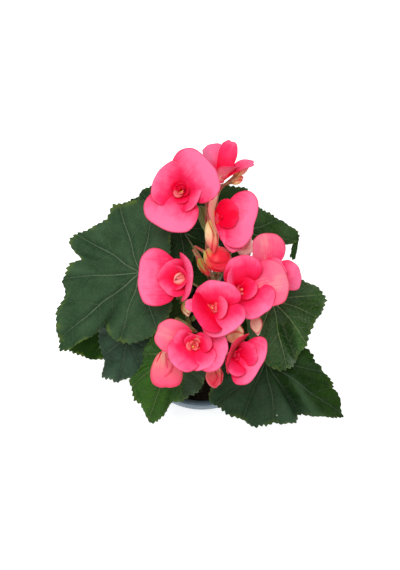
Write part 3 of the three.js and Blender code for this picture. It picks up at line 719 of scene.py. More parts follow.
leaves = {
    "leaf_left": {
        "stem": "stem_left", "from": 0.75, "at": (-54, 34, 95),
        "point": -136, "dip": 10, "roll": -4, "sag": 7,
        "edge": [
            (-174, 42), (-159, 55), (-146, 62), (-132, 65), (-122, 64), (-113, 64), (-109, 60),
            (-103, 56), (-93, 58), (-83, 61), (-78, 64), (-70, 69), (-67, 67), (-63, 61), (-59, 53),
            (-54, 61), (-48, 63), (-39, 69), (-34, 67), (-28, 69), (-22, 78), (-18, 82), (-11, 88),
            (-4, 93), (-2, 97), (2, 91), (4, 79), (7, 70), (8.5, 62), (10, 52), (13, 55), (17, 59),
            (26, 62), (34, 61), (40, 60), (49, 58), (57, 56), (88, 42), (112, 28), (128, 5), (156, 26),
        ],
        "veins": (-147, -117, -76, -41, -6, 29, 62, 105, 150), "tones": greyGreen,
        "vein": (0.15, 0.22, 0.13),
        "folds": ((9, 3.5, 6.0), (-59, 3.0, 6.0), (-104, 2.0, 7.0)),
        "roughness": 0.5, "edgeTint": 0.6, "wave": 2.0, "spacing": 15,
    },
    "leaf_left_front": {
        "stem": "stem_left", "from": 0.45, "at": (-66, -13, 50),
        "point": -107, "dip": 30, "roll": 0, "sag": 6,
        "edge": [
            (-165, 20), (-120, 28), (-80, 28), (-57, 27), (-37, 30), (-30, 32), (-25, 37), (-22, 42),
            (-20, 47), (-15, 47), (-9, 43), (-4, 46), (0, 46), (5, 41), (12, 38), (20, 36), (33, 38),
            (54, 40), (85, 44), (120, 38), (150, 22), (180, 5),
        ],
        "veins": (-130, -80, -38, 0, 38, 80, 125), "tones": blueGreen, "vein": (0.07, 0.12, 0.06),
        "folds": ((-24, 4.0, 5.0),),
        "roughness": 0.38, "shine": 0.25, "edgeTint": 0.2, "wave": 2.4, "spacing": 10,
    },
    "leaf_left_low": {
        "stem": "stem_left", "from": 0.3, "at": (-82, 8, 32), "point": -122, "dip": 20, "roll": 0, "sag": 5,
        "edge": [
            (-170, 20), (-140, 34), (-105, 40), (-70, 42), (-40, 46), (-27, 51), (-20, 47), (-9, 43),
            (1, 41), (14, 37), (22, 34), (30, 30), (60, 34), (95, 36), (130, 30), (160, 16), (178, 5),
        ],
        "veins": (-125, -80, -38, 0, 40, 85, 130), "tones": richGreen, "vein": (0.07, 0.12, 0.04),
        "roughness": 0.45, "edgeTint": 0.9, "wave": 1.4, "spacing": 10,
    },
    "leaf_back_left": {
        "stem": "stem_back", "from": 0.8, "at": (-20, 82, 76), "point": 130, "dip": 14, "roll": 4, "sag": 6,
        "edge": [
            (-168, 20), (-140, 34), (-110, 40), (-75, 44), (-40, 46), (-20, 54), (-15, 57), (-10, 56),
            (-5, 60), (0, 60), (5, 57), (13, 60), (21, 52), (45, 44), (80, 40), (118, 38), (151, 42),
            (168, 30), (178, 5),
        ],
        "veins": (-130, -85, -42, 0, 42, 85, 148), "tones": ((0.009, 0.032, 0.008), (0.026, 0.062, 0.02)),
        "vein": (0.09, 0.14, 0.08),
        "roughness": 0.5, "edgeTint": 0.3, "wave": 1.8, "spacing": 12,
    },
    "leaf_back": {
        "stem": "stem_back", "from": 0.3, "at": (6, 68, 34), "point": 96, "dip": 22, "roll": 0, "sag": 6,
        "edge": cordate(58),
        **plainLeaf,
        "roughness": 0.45, "edgeTint": 0.3, "wave": 2.2, "spacing": 12,
    },
    "leaf_inner_back": {
        "stem": "stem_back", "from": 0.52, "at": (-13, 44, 47),
        "point": 128, "dip": 16, "roll": 0, "sag": 3,
        "edge": cordate(33),
        **plainLeaf,
        "roughness": 0.45, "edgeTint": 0.2, "wave": 1.0, "spacing": 8,
    },
    "leaf_back_right": {
        "stem": "stem_back", "from": 0.58, "at": (14, 96, 62), "point": 52, "dip": 12, "roll": -6, "sag": 4,
        "edge": [
            (-168, 14), (-135, 22), (-100, 24), (-60, 26), (-32, 28), (-13, 36), (-7, 42), (0, 47),
            (9, 43), (30, 38), (60, 36), (95, 32), (135, 24), (165, 14), (180, 4),
        ],
        "veins": (-130, -80, -38, 0, 35, 75, 125), "tones": ((0.012, 0.04, 0.004), (0.038, 0.08, 0.014)),
        "vein": (0.11, 0.16, 0.07),
        "roughness": 0.45, "edgeTint": 0.5, "wave": 1.3, "spacing": 9,
    },
    "leaf_right_back": {
        "stem": "stem_back", "from": 0.74, "at": (34, 74, 89), "point": 1, "dip": 34, "roll": 0, "sag": 5,
        "edge": [
            (-165, 14), (-130, 20), (-90, 20), (-45, 20), (-12, 22), (-7, 36), (-3, 52), (2, 65), (5, 70),
            (9, 71), (12, 69), (14, 64), (18, 57), (25, 50), (34, 43), (45, 37), (58, 32), (100, 28),
            (140, 22), (170, 10), (182, 4),
        ],
        "veins": (-110, -60, -22, 4, 24, 55, 95, 140), "tones": ((0.01, 0.042, 0.003), (0.034, 0.085, 0.015)),
        "vein": (0.12, 0.19, 0.08),
        "roughness": 0.4, "edgeTint": 0.4, "wave": 1.6, "spacing": 10,
        "tornStrip": {"turn": 8, "reach": 70, "hangs": (-0.2, -0.93, -0.3), "length": 22, "width": 8},
    },
    "leaf_right": {
        "stem": "stem_right", "from": 0.72, "at": (61, 14, 86),
        "point": -62, "dip": 22, "roll": 0, "sag": 5,
        "edge": [
            (-165, 16), (-130, 22), (-90, 26), (-60, 38), (-43, 46), (-34, 55), (-30, 59), (-26, 61),
            (-18, 64), (-13, 63), (-8, 64), (-3, 62), (2, 57), (11, 53), (16, 49), (23, 45), (32, 43),
            (44, 47), (52, 49), (61, 50), (70, 45), (77, 41), (84, 35), (92, 30), (126, 25), (150, 18),
            (172, 5),
        ],
        "veins": (-120, -75, -42, -14, 12, 40, 66, 105, 145),
        "tones": ((0.006, 0.045, 0.001), (0.03, 0.1, 0.014)), "vein": (0.2, 0.3, 0.1),
        "sideLightTones": ((0.006, 0.042, 0.0), (0.026, 0.085, 0.004)), "sideLightSpan": (0.0, 0.3),
        "folds": ((-3, 7.0, 4.5), (52, 3.5, 5.0), (-58, 3.0, 5.0)),
        "roughness": 0.24, "shine": 0.3, "edgeTint": 0.3, "wave": 3.2, "spacing": 11,
    },
    "leaf_right_low": {
        "stem": "stem_right", "from": 0.32, "at": (58, 10, 38),
        "point": -14, "dip": 24, "roll": 0, "sag": 5,
        "edge": cordate(42),
        **plainLeaf,
        "roughness": 0.4, "edgeTint": 0.3, "wave": 1.4, "spacing": 10,
    },
    "leaf_front_right": {
        "stem": "stem_right", "from": 0.55, "at": (57, -34, 48),
        "point": -33, "dip": 18, "roll": 0, "sag": 6,
        "edge": [
            (-168, 20), (-146, 42), (-120, 55), (-116, 60), (-110, 63), (-103, 58), (-97, 57), (-90, 58),
            (-84, 56), (-78, 55), (-71, 58), (-64, 58), (-59, 55), (-53, 56), (-47, 54), (-42, 57),
            (-36, 58), (-31, 60), (-26, 60), (-23, 57), (-19, 57), (-15, 62), (-12, 67), (-8, 72),
            (-5, 78), (-1, 84), (1, 90), (5, 84), (10, 78), (13, 73), (14, 66), (18, 68), (23, 61),
            (26, 56), (31, 53), (34, 46), (60, 38), (95, 34), (130, 24), (160, 10),
        ],
        "veins": (-135, -106, -78, -48, -22, 2, 26, 55, 95),
        "tones": ((0.014, 0.042, 0.016), (0.04, 0.08, 0.04)), "vein": (0.09, 0.135, 0.075),
        "sideLightTones": ((0.003, 0.02, 0.0), (0.024, 0.068, 0.006)), "sideLightSpan": (-0.25, 0.0), "flecks": 17,
        "folds": ((-19, 6.5, 5.5), (-75, 2.5, 8.0), (17, 3.0, 5.0)),
        "roughness": 0.45, "edgeTint": 0.25, "wave": 2.8, "spacing": 13,
    },
    "leaf_front_left": {
        "stem": "stem_front", "from": 0.75, "at": (-27, -29, 62),
        "point": -107, "dip": 28, "roll": 0, "sag": 5,
        "edge": [
            (-165, 16), (-120, 22), (-80, 24), (-56, 25), (-46, 30), (-42, 38), (-40, 47), (-37, 49),
            (-32, 49), (-27, 52), (-21, 56), (-15, 54), (-11, 60), (-7, 65), (-1, 71), (3, 66), (5, 62),
            (8, 58), (10, 54), (12, 50), (15, 46), (20, 45), (28, 45), (35, 42), (42, 42), (53, 41),
            (60, 40), (76, 34), (110, 24), (150, 12), (176, 4),
        ],
        "veins": (-120, -70, -32, -4, 28, 60, 100), "tones": ((0.006, 0.05, 0.0), (0.034, 0.13, 0.0)),
        "vein": (0.13, 0.2, 0.05),
        "sideLightTones": ((0.013, 0.042, 0.014), (0.04, 0.082, 0.036)), "sideLightSpan": (0.12, 0.3),
        "folds": ((12, 4.0, 4.5), (-46, 2.5, 5.0)),
        "roughness": 0.4, "shine": 0.25, "edgeTint": 0.35, "wave": 2.2, "spacing": 11,
    },
    "leaf_inner_left": {
        "stem": "stem_left", "from": 0.62, "at": (-35, 2, 66), "point": -62, "dip": 26, "roll": 0, "sag": 3,
        "edge": cordate(28),
        **plainLeaf,
        "roughness": 0.42, "edgeTint": 0.2, "wave": 0.9, "spacing": 8,
    },
    "leaf_inner_right": {
        "stem": "stem_right", "from": 0.92, "at": (44, 30, 62), "point": 66, "dip": 24, "roll": 0, "sag": 3,
        "edge": cordate(30),
        **plainLeaf,
        "roughness": 0.42, "edgeTint": 0.2, "wave": 0.9, "spacing": 8,
    },
}
blade = {
    "thickness": 0.9, "edgeThickness": 0.45, "columnWidth": 0.85, "rings": 34,
    "tooth": 4.8, "toothDepth": 2.9, "veinGroove": 0.35, "sideGroove": 0.45, "quilt": 0.8, "funnel": 2.2,
    "petioleArch": 6, "veinSlope": 0.95, "veinSpread": 0.72, "waveLength": 46,
    "drift": 1.5, "driftSize": 38, "swell": 0.55, "swellSize": 26,
}


def leafFrame(leaf):
    point, dip, roll = (math.radians(leaf[key]) for key in ("point", "dip", "roll"))
    along = np.array([math.cos(point) * math.cos(dip), math.sin(point) * math.cos(dip), -math.sin(dip)])
    level = np.array([-math.sin(point), math.cos(point), 0.0])
    side = level * math.cos(roll) + np.cross(along, level) * math.sin(roll)
    return along, side, np.cross(along, side)


def leafOutline(leaf, rng):
    # direction, distance from the foot, and length round the edge, of each column of the blade
    turns, radii = np.array(leaf["edge"], float).T
    corners = np.stack([radii * np.cos(np.radians(turns)), radii * np.sin(np.radians(turns))], 1)
    for keep in (0.86, 0.8):
        after = np.roll(corners, -1, 0)
        corners = np.stack([keep * corners + (1 - keep) * after, (1 - keep) * corners + keep * after], 1)
        corners = corners.reshape(-1, 2)
    closed = np.vstack([corners, corners[:1]])
    run = np.concatenate([[0], np.cumsum(np.linalg.norm(np.diff(closed, axis=0), axis=1))])
    columns = int(run[-1] / blade["columnWidth"])
    where = np.linspace(0, run[-1], columns, endpoint=False)
    x, y = np.interp(where, run, closed[:, 0]), np.interp(where, run, closed[:, 1])
    turn, radius = np.unwrap(np.arctan2(y, x)), np.hypot(x, y)
    teeth = round(run[-1] / blade["tooth"])
    phase = (where / run[-1] * teeth + 0.25 * np.sin(where / 9 + rng.uniform(0, 6))) % 1
    saw = np.where(phase < 0.68, phase / 0.68, (1 - phase) / 0.32) ** 0.8
    size = 0.65 + 0.35 * np.sin(where / 6.1 + rng.uniform(0, 6))
    lobe = 0.6 * np.sin(where / 3.1 + rng.uniform(0, 6)) * np.clip(radius / 20 - 0.4, 0, 1)
    radius = radius + (saw * size * blade["toothDepth"] + lobe * 0.5) * np.clip(radius / 12 - 0.3, 0, 1)
    for vein in leaf["veins"]:
        gaps = (turn - math.radians(vein) + math.pi) % tau - math.pi
        nearest = np.argmin(np.abs(gaps))
        turn[nearest] -= gaps[nearest]  # a column runs exactly along each main vein
    return turn, radius, where


def makeLeafLook(name, leaf):
    look = Look(name + "Top", Specular_IOR_Level=leaf.get("shine", 0.06))
    u, v, out = look.values("place")
    tone, across, foldShading = look.values("shade")
    wobble = look.noise(9, 3) - 0.5
    mainWidth = 0.9 - out * 0.55
    main = 1 - (v + wobble * 0.5).ease(0.0, mainWidth)
    step = leaf["spacing"]
    phase = (u - v * blade["veinSlope"]) / step + wobble * 0.35
    lateral = phase.zigzag(0.5) * (step * blade["veinSpread"])
    second = (1 - lateral.ease(0.0, 0.75)) * (1 - out * 0.35)
    fine = (u - v * 0.25) / (step * 0.33) + wobble * 0.9
    third = 1 - (fine.zigzag(0.5) * (step * 0.3)).ease(0.0, 0.55)
    net = 1 - look.cells(3.2, "DISTANCE_TO_EDGE").ease(0.0, 0.13)
    patch = look.noise(17, 4)
    speck = look.noise(1.3, 3)
    dark, light = leaf["tones"]
    broad = look.noise(34, 3)
    mottle = (patch * 0.9 + broad * 0.7 + speck * 0.3 + tone * 0.3 - 0.6).ease(0.0, 1.0)
    colour = look.blend(mottle, dark, light)
    # painted light: past that share, one side of the leaf takes other greens for the way the light falls on
    # it
    if "sideLightTones" in leaf:
        colour = look.blend(across.ease(*leaf["sideLightSpan"]), colour, look.blend(mottle, *leaf["sideLightTones"]))
    # painted shade beside the veins, where the blade dips into them
    veinShade = (1 - v.ease(0.6, 5.0)) * 0.45 + (1 - lateral.ease(0.3, 2.2)) * 0.2
    colour = look.blend(veinShade, colour, tuple(0.55 * c for c in dark))
    # painted shade in the fold valleys, then a painted highlight on their far banks
    colour = look.blend(foldShading.ease(0.1, 1.0) * 0.6, colour, tuple(0.4 * c for c in dark))
    colour = look.blend((0 - foldShading).ease(0.0, 0.6) * 0.5, colour, tuple(1.5 * c for c in light))
    colour = look.blend(net * 0.1, colour, leaf["vein"])
    colour = look.blend(third * 0.06, colour, leaf["vein"])
    colour = look.blend(second * 0.22, colour, leaf["vein"])
    colour = look.blend(main * (0.9 - out * 0.35), colour, leaf["vein"])
    margin = out.ease(0.9, 1.0) * look.noise(11, 3).ease(0.42, 0.62)
    colour = look.blend(margin * leaf["edgeTint"], colour, yellowEdge)
    colour = look.blend(out.ease(0.985, 1.0) * 0.3, colour, yellowEdge)
    if "flecks" in leaf:
        fleck = 1 - look.cells(leaf["flecks"]).ease(0.04, 0.055)
        colour = look.blend(fleck * 0.8, colour, (0.5, 0.55, 0.48))
    roughness = leaf["roughness"] + patch * 0.14 + second * 0.08
    relief = speck * 0.35 - main * 0.3 - second * 0.35 - third * 0.2 - net * 0.3
    return look.finish(colour, roughness, relief, 0.5)


def makeUndersideLook():
    look = Look("leafUnderside", Specular_IOR_Level=0.35)
    u, v, out = look.values("place")
    wobble = look.noise(9, 3) - 0.5
    main = 1 - (v + wobble * 0.4).ease(0.0, 1.5)
    phase = (u - v * blade["veinSlope"]) / 12 + wobble * 0.35
    second = 1 - (phase.zigzag(0.5) * 9).ease(0.0, 0.9)
    net = 1 - look.cells(3.2, "DISTANCE_TO_EDGE").ease(0.0, 0.16)
    patch = look.noise(15, 4)
    colour = look.blend(patch, (0.1, 0.15, 0.06), (0.17, 0.23, 0.1))
    colour = look.blend(net * 0.25, colour, (0.22, 0.28, 0.13))
    colour = look.blend(second * 0.5, colour, (0.26, 0.3, 0.15))
    colour = look.blend(main * 0.75, colour, (0.33, 0.22, 0.13))
    colour = look.blend(out.ease(0.93, 1.0) * 0.4, colour, (0.22, 0.08, 0.04))
    return look.finish(colour, 0.55 + patch * 0.15, main + second * 0.8 + net * 0.5, 0.6)


undersideLook = makeUndersideLook()


def makeLeaf(name, leaf, seed):
    rng = random.Random(seed)
    along, side, up = leafFrame(leaf)
    origin = rise(leaf["at"])
    turn, radius, where = leafOutline(leaf, rng)
    reach = max(r for _, r in leaf["edge"])
    rings = max(14, int(blade["rings"] * min(1, reach / 75)))
    columns = len(turn)
    out, index = discGrid(rings, columns)
    r, theta = out * radius[index], turn[index]
    # u runs along the nearest main vein and v away from it
    veins = np.radians(np.array(leaf["veins"], float))
    gaps = np.abs((theta[:, None] - veins[None, :] + math.pi) % tau - math.pi).min(1)
    u, v = r * np.cos(gaps), r * np.sin(np.minimum(gaps, math.pi / 2))
    # the flat blade, its inside shifted a little so that the veins aren't quite straight
    flat = np.stack([r * np.cos(theta), r * np.sin(theta), np.zeros_like(r)], 1)
    drift = np.stack([bumpy(flat, blade["driftSize"], blade["drift"], seed + k) for k in (0, 50)], 1)
    flat[:, :2] += drift * (np.sin(np.pi * np.clip(out, 0, 1)) * np.clip(r / 15, 0, 1))[:, None]
    # sag, grooves along the main and side veins, and quilting between them
    height = -leaf["sag"] * (r / reach) ** 2
    height -= blade["veinGroove"] * np.exp(-(v / 1.5) ** 2) * (1 - 0.6 * out) * np.clip(r / 4, 0, 1)
    phase = (u - v * blade["veinSlope"]) / leaf["spacing"]
    lateral = np.abs((phase + 0.5) % 1 - 0.5) * leaf["spacing"] * blade["veinSpread"]
    sideGroove = blade["sideGroove"] * np.exp(-(lateral / 1.1) ** 2)
    height -= sideGroove * (1 - 0.4 * out) * np.clip(r / 12, 0, 1)
    height += blade["quilt"] * (1 - np.exp(-(v / 5.5) ** 2)) * np.clip(r / 18, 0, 1) * (1 - 0.5 * out)
    # waves along the edge, soft swellings, and a funnel over the petiole
    edge = where[index]
    total = where[-1] + blade["columnWidth"]
    waves = max(3, round(total / blade["waveLength"]))
    swing = np.sin(tau * waves * edge / total + rng.uniform(0, tau))
    swing += 0.35 * np.sin(tau * (waves * 3 + 1) * edge / total + rng.uniform(0, tau))
    height += leaf["wave"] * swing * out ** 3 * np.clip(r / 20, 0, 1)
    height += bumpy(flat, blade["swellSize"], blade["swell"], seed + 9) * np.clip(r / 15, 0, 1)
    height -= blade["funnel"] * np.exp(-(r / 4.5) ** 2)
    foldShading = np.zeros_like(r)
    for foldTurn, depth, breadth in leaf.get("folds", ()):  # valleys in the blade, each with painted shade along it and a painted highlight on its far bank
        away = (theta - math.radians(foldTurn) + math.pi) % tau - math.pi
        offset = r * np.sin(np.clip(away, -math.pi / 2, math.pi / 2))
        height -= depth * np.exp(-(offset / breadth) ** 2) * np.clip(r / 30, 0, 1) ** 1.5
        bankHighlight = 0.45 * np.exp(-((offset - breadth * 1.8) / breadth) ** 2)
        foldShading += depth / 6 * (np.exp(-(offset / breadth) ** 2) - bankHighlight) * np.clip(r / 40, 0, 1)
    points = origin + np.outer(flat[:, 0], along) + np.outer(flat[:, 1], side) + np.outer(height, up)
    thickness = blade["thickness"] * (1 - out ** 4) + blade["edgeThickness"] * out ** 4
    place = np.stack([u, v, out], 1)
    tone = np.full(len(r), rng.random())
    shade = np.stack([tone, flat[:, 1] / reach, foldShading], 1)
    piece = Piece()
    piece.sheet(points, (rings, columns), thickness, place, shade)
    if "tornStrip" in leaf:
        addTornStrip(piece, leaf["tornStrip"], origin, (along, side, up), leaf["sag"], rng)
    addPetiole(piece, leaf, origin, up)
    piece.make(name + "_blade", [makeLeafLook(name, leaf), undersideLook, stemLook], name)


def addPetiole(piece, leaf, foot, up):
    # the leaf's own stalk, from just inside the stem to the underside of the blade
    root = stemPoint(leaf["stem"], leaf["from"])
    middle = root + (foot - root) * 0.55 + np.array([0, 0, blade["petioleArch"]])
    end = foot - up * (growth["petioleRadius"] * 0.6 + 0.6 + blade["funnel"])
    path = smoothPath([root, middle, end], 34)
    path = path[np.linalg.norm(path - root, axis=1) > growth["stemRadius"] * 0.7]
    share = np.linspace(0, 1, len(path))
    radii = growth["petioleRadius"] * (0.82 + 0.3 * np.exp(-(share / 0.08) ** 2) + 0.1 * share ** 4)
    piece.tube(path, radii, 2, (0.55, 0.5, 0), 14)


def addTornStrip(piece, strip, origin, axes, sag, rng):
    # a ragged, rolled strip that hangs from the blade's tip
    along, side, up = axes
    turn = math.radians(strip["turn"])
    tip = origin + along * strip["reach"] * math.cos(turn) + side * strip["reach"] * math.sin(turn) - up * sag
    hangs = unit(strip["hangs"])
    outward = unit(np.cross(hangs, np.cross([0.3, 0.2, 0.9], hangs)))
    phases = [rng.uniform(0, tau) for _ in range(3)]

    def ragged(s, _, out, turn):
        tear = np.sin(9 * turn + phases[0]) + 0.7 * np.sin(23 * turn + phases[1])
        return 0.7 * np.sin(s * 11 + phases[2]) * out, 0.03 * tear * out ** 2, 0.24 * tear * out ** 3

    grid, size = (10, 64), (strip["length"], strip["width"])
    points, place = petalPoints(tip, hangs, outward, size, (-8, 12), 1.5, grid, ragged)
    s, t, out = place.T
    place = np.stack([s * 18 + 3, np.abs(t) * 6 + 1.5, out], 1)
    piece.sheet(points, grid, 0.6, place, (0.1, 0.2, 0.5), (0, 0))


def stemPoint(name, share, steps=200):
    path = smoothPath([rise(p) for p in stems[name]], steps + 1)
    return path[int(round(share * steps))]


for number, (leafName, leaf) in enumerate(leaves.items()):
    makeLeaf(leafName, leaf, seeds["leaf"] + number)
print("leaves made")


# Flowers. Each petal: turn round the face, lean at its base and at its tip, length, width,
# tone from -1 deep red to 1 pale pink, the look of its outside, and that of its face where it isn't pinkFace.
# "heart" is how many small petals stand in the middle; in a ball they close over a round core.

pinkFace, pink, coral, olive, coralFace, innerRed, ballCream, cream, stamen = range(9)  # places in petalLooks
viewUp = np.array([0, 0.956, 0.292])
flowers = {
    "flower_back_left": {
        "at": (-16, 87, 152), "face": (-0.13, -0.29, 0.95), "heart": 11, "heartSize": 12,
        "stamens": 4, "mixedHeart": True, "heartTone": -1.3, "heartSpread": 0.7, "heartLift": 2.5,
        "petals": [
            (38, 23, 84, 42, 52, 0.5, pink),
            (248, 36, 88, 39, 50, 0.55, pink),
            (150, 26, 64, 30, 42, 0.15, pink),
            (-21, 30, 54, 24, 34, 0.0, pink),
        ],
    },
    "flower_back": {
        "at": (15, 102, 139), "face": (0.28, 0.55, 0.79), "heart": 5, "heartSize": 8, "stamens": 5,
        "petals": [
            (131, 20, 65, 31, 35, 0.7, pink),
            (66, 14, 42, 35, 17, -0.3, coral),
            (-14, 20, 66, 33, 15, 0.2, coral),
            (-80, 8, 34, 24, 20, 0.2, coral),
            (24, 6, 20, 20, 14, -0.9, coral),
        ],
    },
    "flower_upper_right": {
        "at": (12, 66, 144), "face": (0.35, -0.1, 0.93), "heart": 2, "heartSize": 8, "stamens": 0,
        "heartTone": -1.3,
        "petals": [
            (-20, 34, 80, 33, 56, 0.5, pink),
            (176, 22, 36, 32, 40, 0.1, cream, cream),
            (-72, 44, 88, 35, 20, 0.5, coral),
            (40, 22, 56, 20, 20, -1.0, coral),
            (-30, 20, 50, 20, 19, -1.3, coral),
        ],
    },
    "flower_left": {
        "at": (-16, 15, 138), "face": (-0.36, -0.24, 0.9), "heart": 3, "heartSize": 13, "stamens": 0,
        "heartTone": 0.8, "ball": True, "heartLook": innerRed,
        "petals": [
            (180, 24, 79, 38, 51, 0.35, pink),
            (4, 18, 50, 32, 42, 0.1, pink),
            (134, 12, 55, 23, 30, -0.3, pink),
            (226, 12, 60, 22, 30, -0.3, pink),
            (50, 8, 44, 18, 22, -0.6, pink),
            (-50, 8, 44, 18, 22, -0.6, pink),
        ],
    },
    "flower_right": {
        "at": (30, 0, 154), "face": (0.2, -0.14, 0.97), "heart": 5, "heartSize": 8, "stamens": 3,
        "mixedHeart": True,
        "petals": [
            (98, 20, 64, 35, 34, -0.2, pink),
            (-54, 26, 76, 33, 38, 0.1, pink),
            (8, 36, 84, 41, 40, 0.35, coral, coralFace),
            (184, 16, 44, 28, 40, -0.1, coral),
            (-23, 5, 44, 21, 19, -0.3, pink),
            (20, 10, 40, 18, 16, -0.5, pink),
        ],
    },
    "flower_right_back": {
        "at": (51, 19, 124), "face": (0.52, 0.22, 0.82), "heart": 4, "heartSize": 8, "stamens": 4,
        "flare": 0.35,
        "petals": [
            (108, 26, 72, 39, 46, 0.3, coral, coralFace),
            (-24, 28, 78, 32, 34, 0.2, coral),
            (-142, 24, 74, 30, 36, 0.2, coral),
            (20, 8, 40, 22, 26, -0.1, coral),
        ],
    },
    "flower_centre": {
        "at": (9, -20, 170), "face": (0.12, -0.2, 0.97), "heart": 5, "heartSize": 6, "stamens": 1,
        "heartTone": 0.5, "heartLook": innerRed,
        "petals": [
            (82, 24, 62, 28, 38, 0.1, coral),
            (212, 14, 60, 30, 38, -0.8, coral),
            (-60, 24, 78, 28, 40, 0.2, pink),
            (0, 7, 30, 20, 20, 0.4, coral),
            (174, 37, 83, 27, 12, 0.3, pink),
        ],
    },
    "flower_front": {
        "at": (-6, -45, 152), "face": (-0.01, -0.28, 0.96), "heart": 8, "heartSize": 10, "stamens": 2,
        "heartLook": innerRed, "heartSpread": 1.2,
        "petals": [
            (157, 31, 83, 38, 29, 0.5, coral, coralFace),
            (70, 20, 30, 16, 50, 0.2, coral, coralFace),
            (-17, 32, 66, 33, 37, 0.2, coral),
            (219, 14, 69, 32, 32, 0.1, pink),
            (300, 20, 69, 27, 27, 0.0, pink),
            (20, 12, 50, 24, 18, -0.3, coral),
            (150, 22, 55, 26, 18, -0.1, pink),
            (125, 10, 40, 18, 14, -0.4, pink),
        ],
    },
    "flower_front_low": {
        "at": (-28, -42, 126), "face": (-0.04, -0.97, -0.2), "heart": 4, "heartSize": 8, "stamens": 6,
        "cup": 0.6, "flare": 0.2,
        "petals": [
            (122, 10, 34, 29, 26, 0.1, coral),
            (68, 16, 34, 36, 30, 0.1, coral),
            (0, 12, 30, 22, 22, 0.1, coral),
            (-80, 8, 20, 18, 20, 0.1, coral),
            (205, 10, 30, 20, 22, 0.0, coral),
        ],
    },
    "flower_front_right": {
        "at": (26, -50, 140), "face": (0.34, -0.3, 0.9), "heart": 5, "heartSize": 8, "stamens": 0,
        "heartTone": -0.6,
        "petals": [
            # this petal's face and outside both take the olive look: partly the petal's olive-red outside,
            # partly painted shade on a petal turned from the light
            (150, 14, 40, 29, 38, -0.3, olive, olive),
            (-30, 18, 70, 25, 46, 0.3, pink),
            (16, 10, 50, 22, 22, -0.4, pink),
            (235, 16, 60, 25, 22, -0.4, pink),
        ],
    },
}
petalFinish = {
    "thickness": 0.75, "edgeThickness": 0.4, "ruffle": 0.6, "inset": 2.0, "cup": 0.55, "flare": 0.65,
    "grid": (16, 60), "heartGrid": (7, 26), "heartTurn": 137.5,
    "ballSwell": (0.2, 0.62, 0.86, 1, 0.98, 0.84, 0.58, 0.2), "ballRadius": 0.37, "ballStep": 0.13,
    "stamenLength": (3.5, 6), "stamenSteps": (0, 0.35, 0.6, 0.75, 0.88, 1),
    "stamenRadii": (0.3, 0.3, 0.4, 0.75, 0.8, 0.5),
    "deep": (0.84, 0.0, 0.04), "mid": (0.95, 0.026, 0.13), "pale": (0.96, 0.165, 0.34),
    "coralMid": (0.94, 0.055, 0.18), "coralPale": (0.94, 0.16, 0.27), "edge": (0.75, 0.008, 0.05),
    "heart": (0.94, 0.15, 0.17), "heartTip": (0.95, 0.3, 0.3),
    "coral": (0.93, 0.17, 0.23), "cream": (0.92, 0.48, 0.36), "olive": (0.16, 0.1, 0.012),
}


def makePetalLook(name, deep, middle, pale, streak=0.0):
    # streak is how strongly a cream flame runs up the middle of the petal
    look = Look(name, Specular_IOR_Level=0.15)
    s, t, out = look.values("place")
    tone, chance, _ = look.values("shade")
    wide = look.noise(8, 3)
    ray = look.streaks(t * 9.0 + chance * 40.0, s * 0.9, 1.8)
    fall = s * 0.85 + tone * 0.42 + (wide - 0.5) * 0.5 + (ray - 0.5) * 0.32
    colour = look.ramp(fall, (0.14, deep), (0.5, middle), (0.86, pale))
    if streak:
        middleOf = (1 - (t * t * 5.0).ease(0.0, 1.0)) * (ray * 0.7 + wide * 0.6).ease(0.5, 0.9)
        colour = look.blend(middleOf * streak, colour, petalFinish["cream"])
    colour = look.blend(out.ease(0.94, 1.0) * 0.6, colour, petalFinish["edge"])
    colour = look.blend((1 - s.ease(0.0, 0.16)) * 0.6, colour, (0.9, 0.45, 0.12))
    grain = look.noise(0.5, 2)
    return look.finish(colour, 0.46 + wide * 0.15, ray * 0.7 + grain * 0.3, 0.25)


def makePetalBackLook(name, root, middle, tip):
    look = Look(name, Specular_IOR_Level=0.2)
    s, t, out = look.values("place")
    chance = look.values("shade")[1]
    wide = look.noise(7, 3)
    ray = look.streaks(t * 10.0 + chance * 40.0, s * 0.8, 2.0)
    fall = s + (wide - 0.5) * 0.4 + (ray - 0.5) * 0.4
    colour = look.ramp(fall, (0.05, root), (0.45, middle), (0.92, tip))
    colour = look.blend(out.ease(0.8, 1.0) * 0.55, colour, petalFinish["edge"])
    return look.finish(colour, 0.42 + wide * 0.15, ray, 0.3)


petalLooks = [  # in the order of the names above flowers; the stamens' look comes last
    makePetalLook("petalFace", petalFinish["deep"], petalFinish["mid"], petalFinish["pale"]),
    makePetalBackLook("petalBackPink", petalFinish["coral"], (0.93, 0.14, 0.28), petalFinish["pale"]),
    makePetalBackLook("petalBackCoral", petalFinish["cream"], petalFinish["coral"], (0.94, 0.1, 0.22)),
    # olive to dark red: partly a petal's own outside colour, partly painted shade
    makePetalBackLook("petalBackOlive", petalFinish["olive"], (0.35, 0.02, 0.015), (0.75, 0.02, 0.07)),
    makePetalLook("petalFaceCoral", petalFinish["mid"], petalFinish["coralMid"], petalFinish["coralPale"],
                  streak=0.3),
    makePetalBackLook("innerPetal", (0.85, 0.3, 0.14), petalFinish["heart"], petalFinish["heartTip"]),
    makePetalBackLook("heartBall", (0.72, 0.45, 0.07), (0.93, 0.4, 0.26), (0.95, 0.56, 0.5)),
    makePetalBackLook("creamPetal", (0.85, 0.6, 0.28), (0.95, 0.58, 0.38), (0.93, 0.34, 0.3)),
]


def makeStamenLook():
    look = Look("yellowStamens", Specular_IOR_Level=0.3)
    patch = look.noise(0.8, 3)
    colour = look.blend(patch, (0.75, 0.42, 0.03), (0.9, 0.7, 0.16))
    return look.finish(colour, 0.55 + patch * 0.2, patch, 0.2)


stamenLook = makeStamenLook()


def flowerFrame(face):
    axis = unit(face)
    across = unit(np.cross(viewUp, axis))
    return axis, across, np.cross(axis, across)


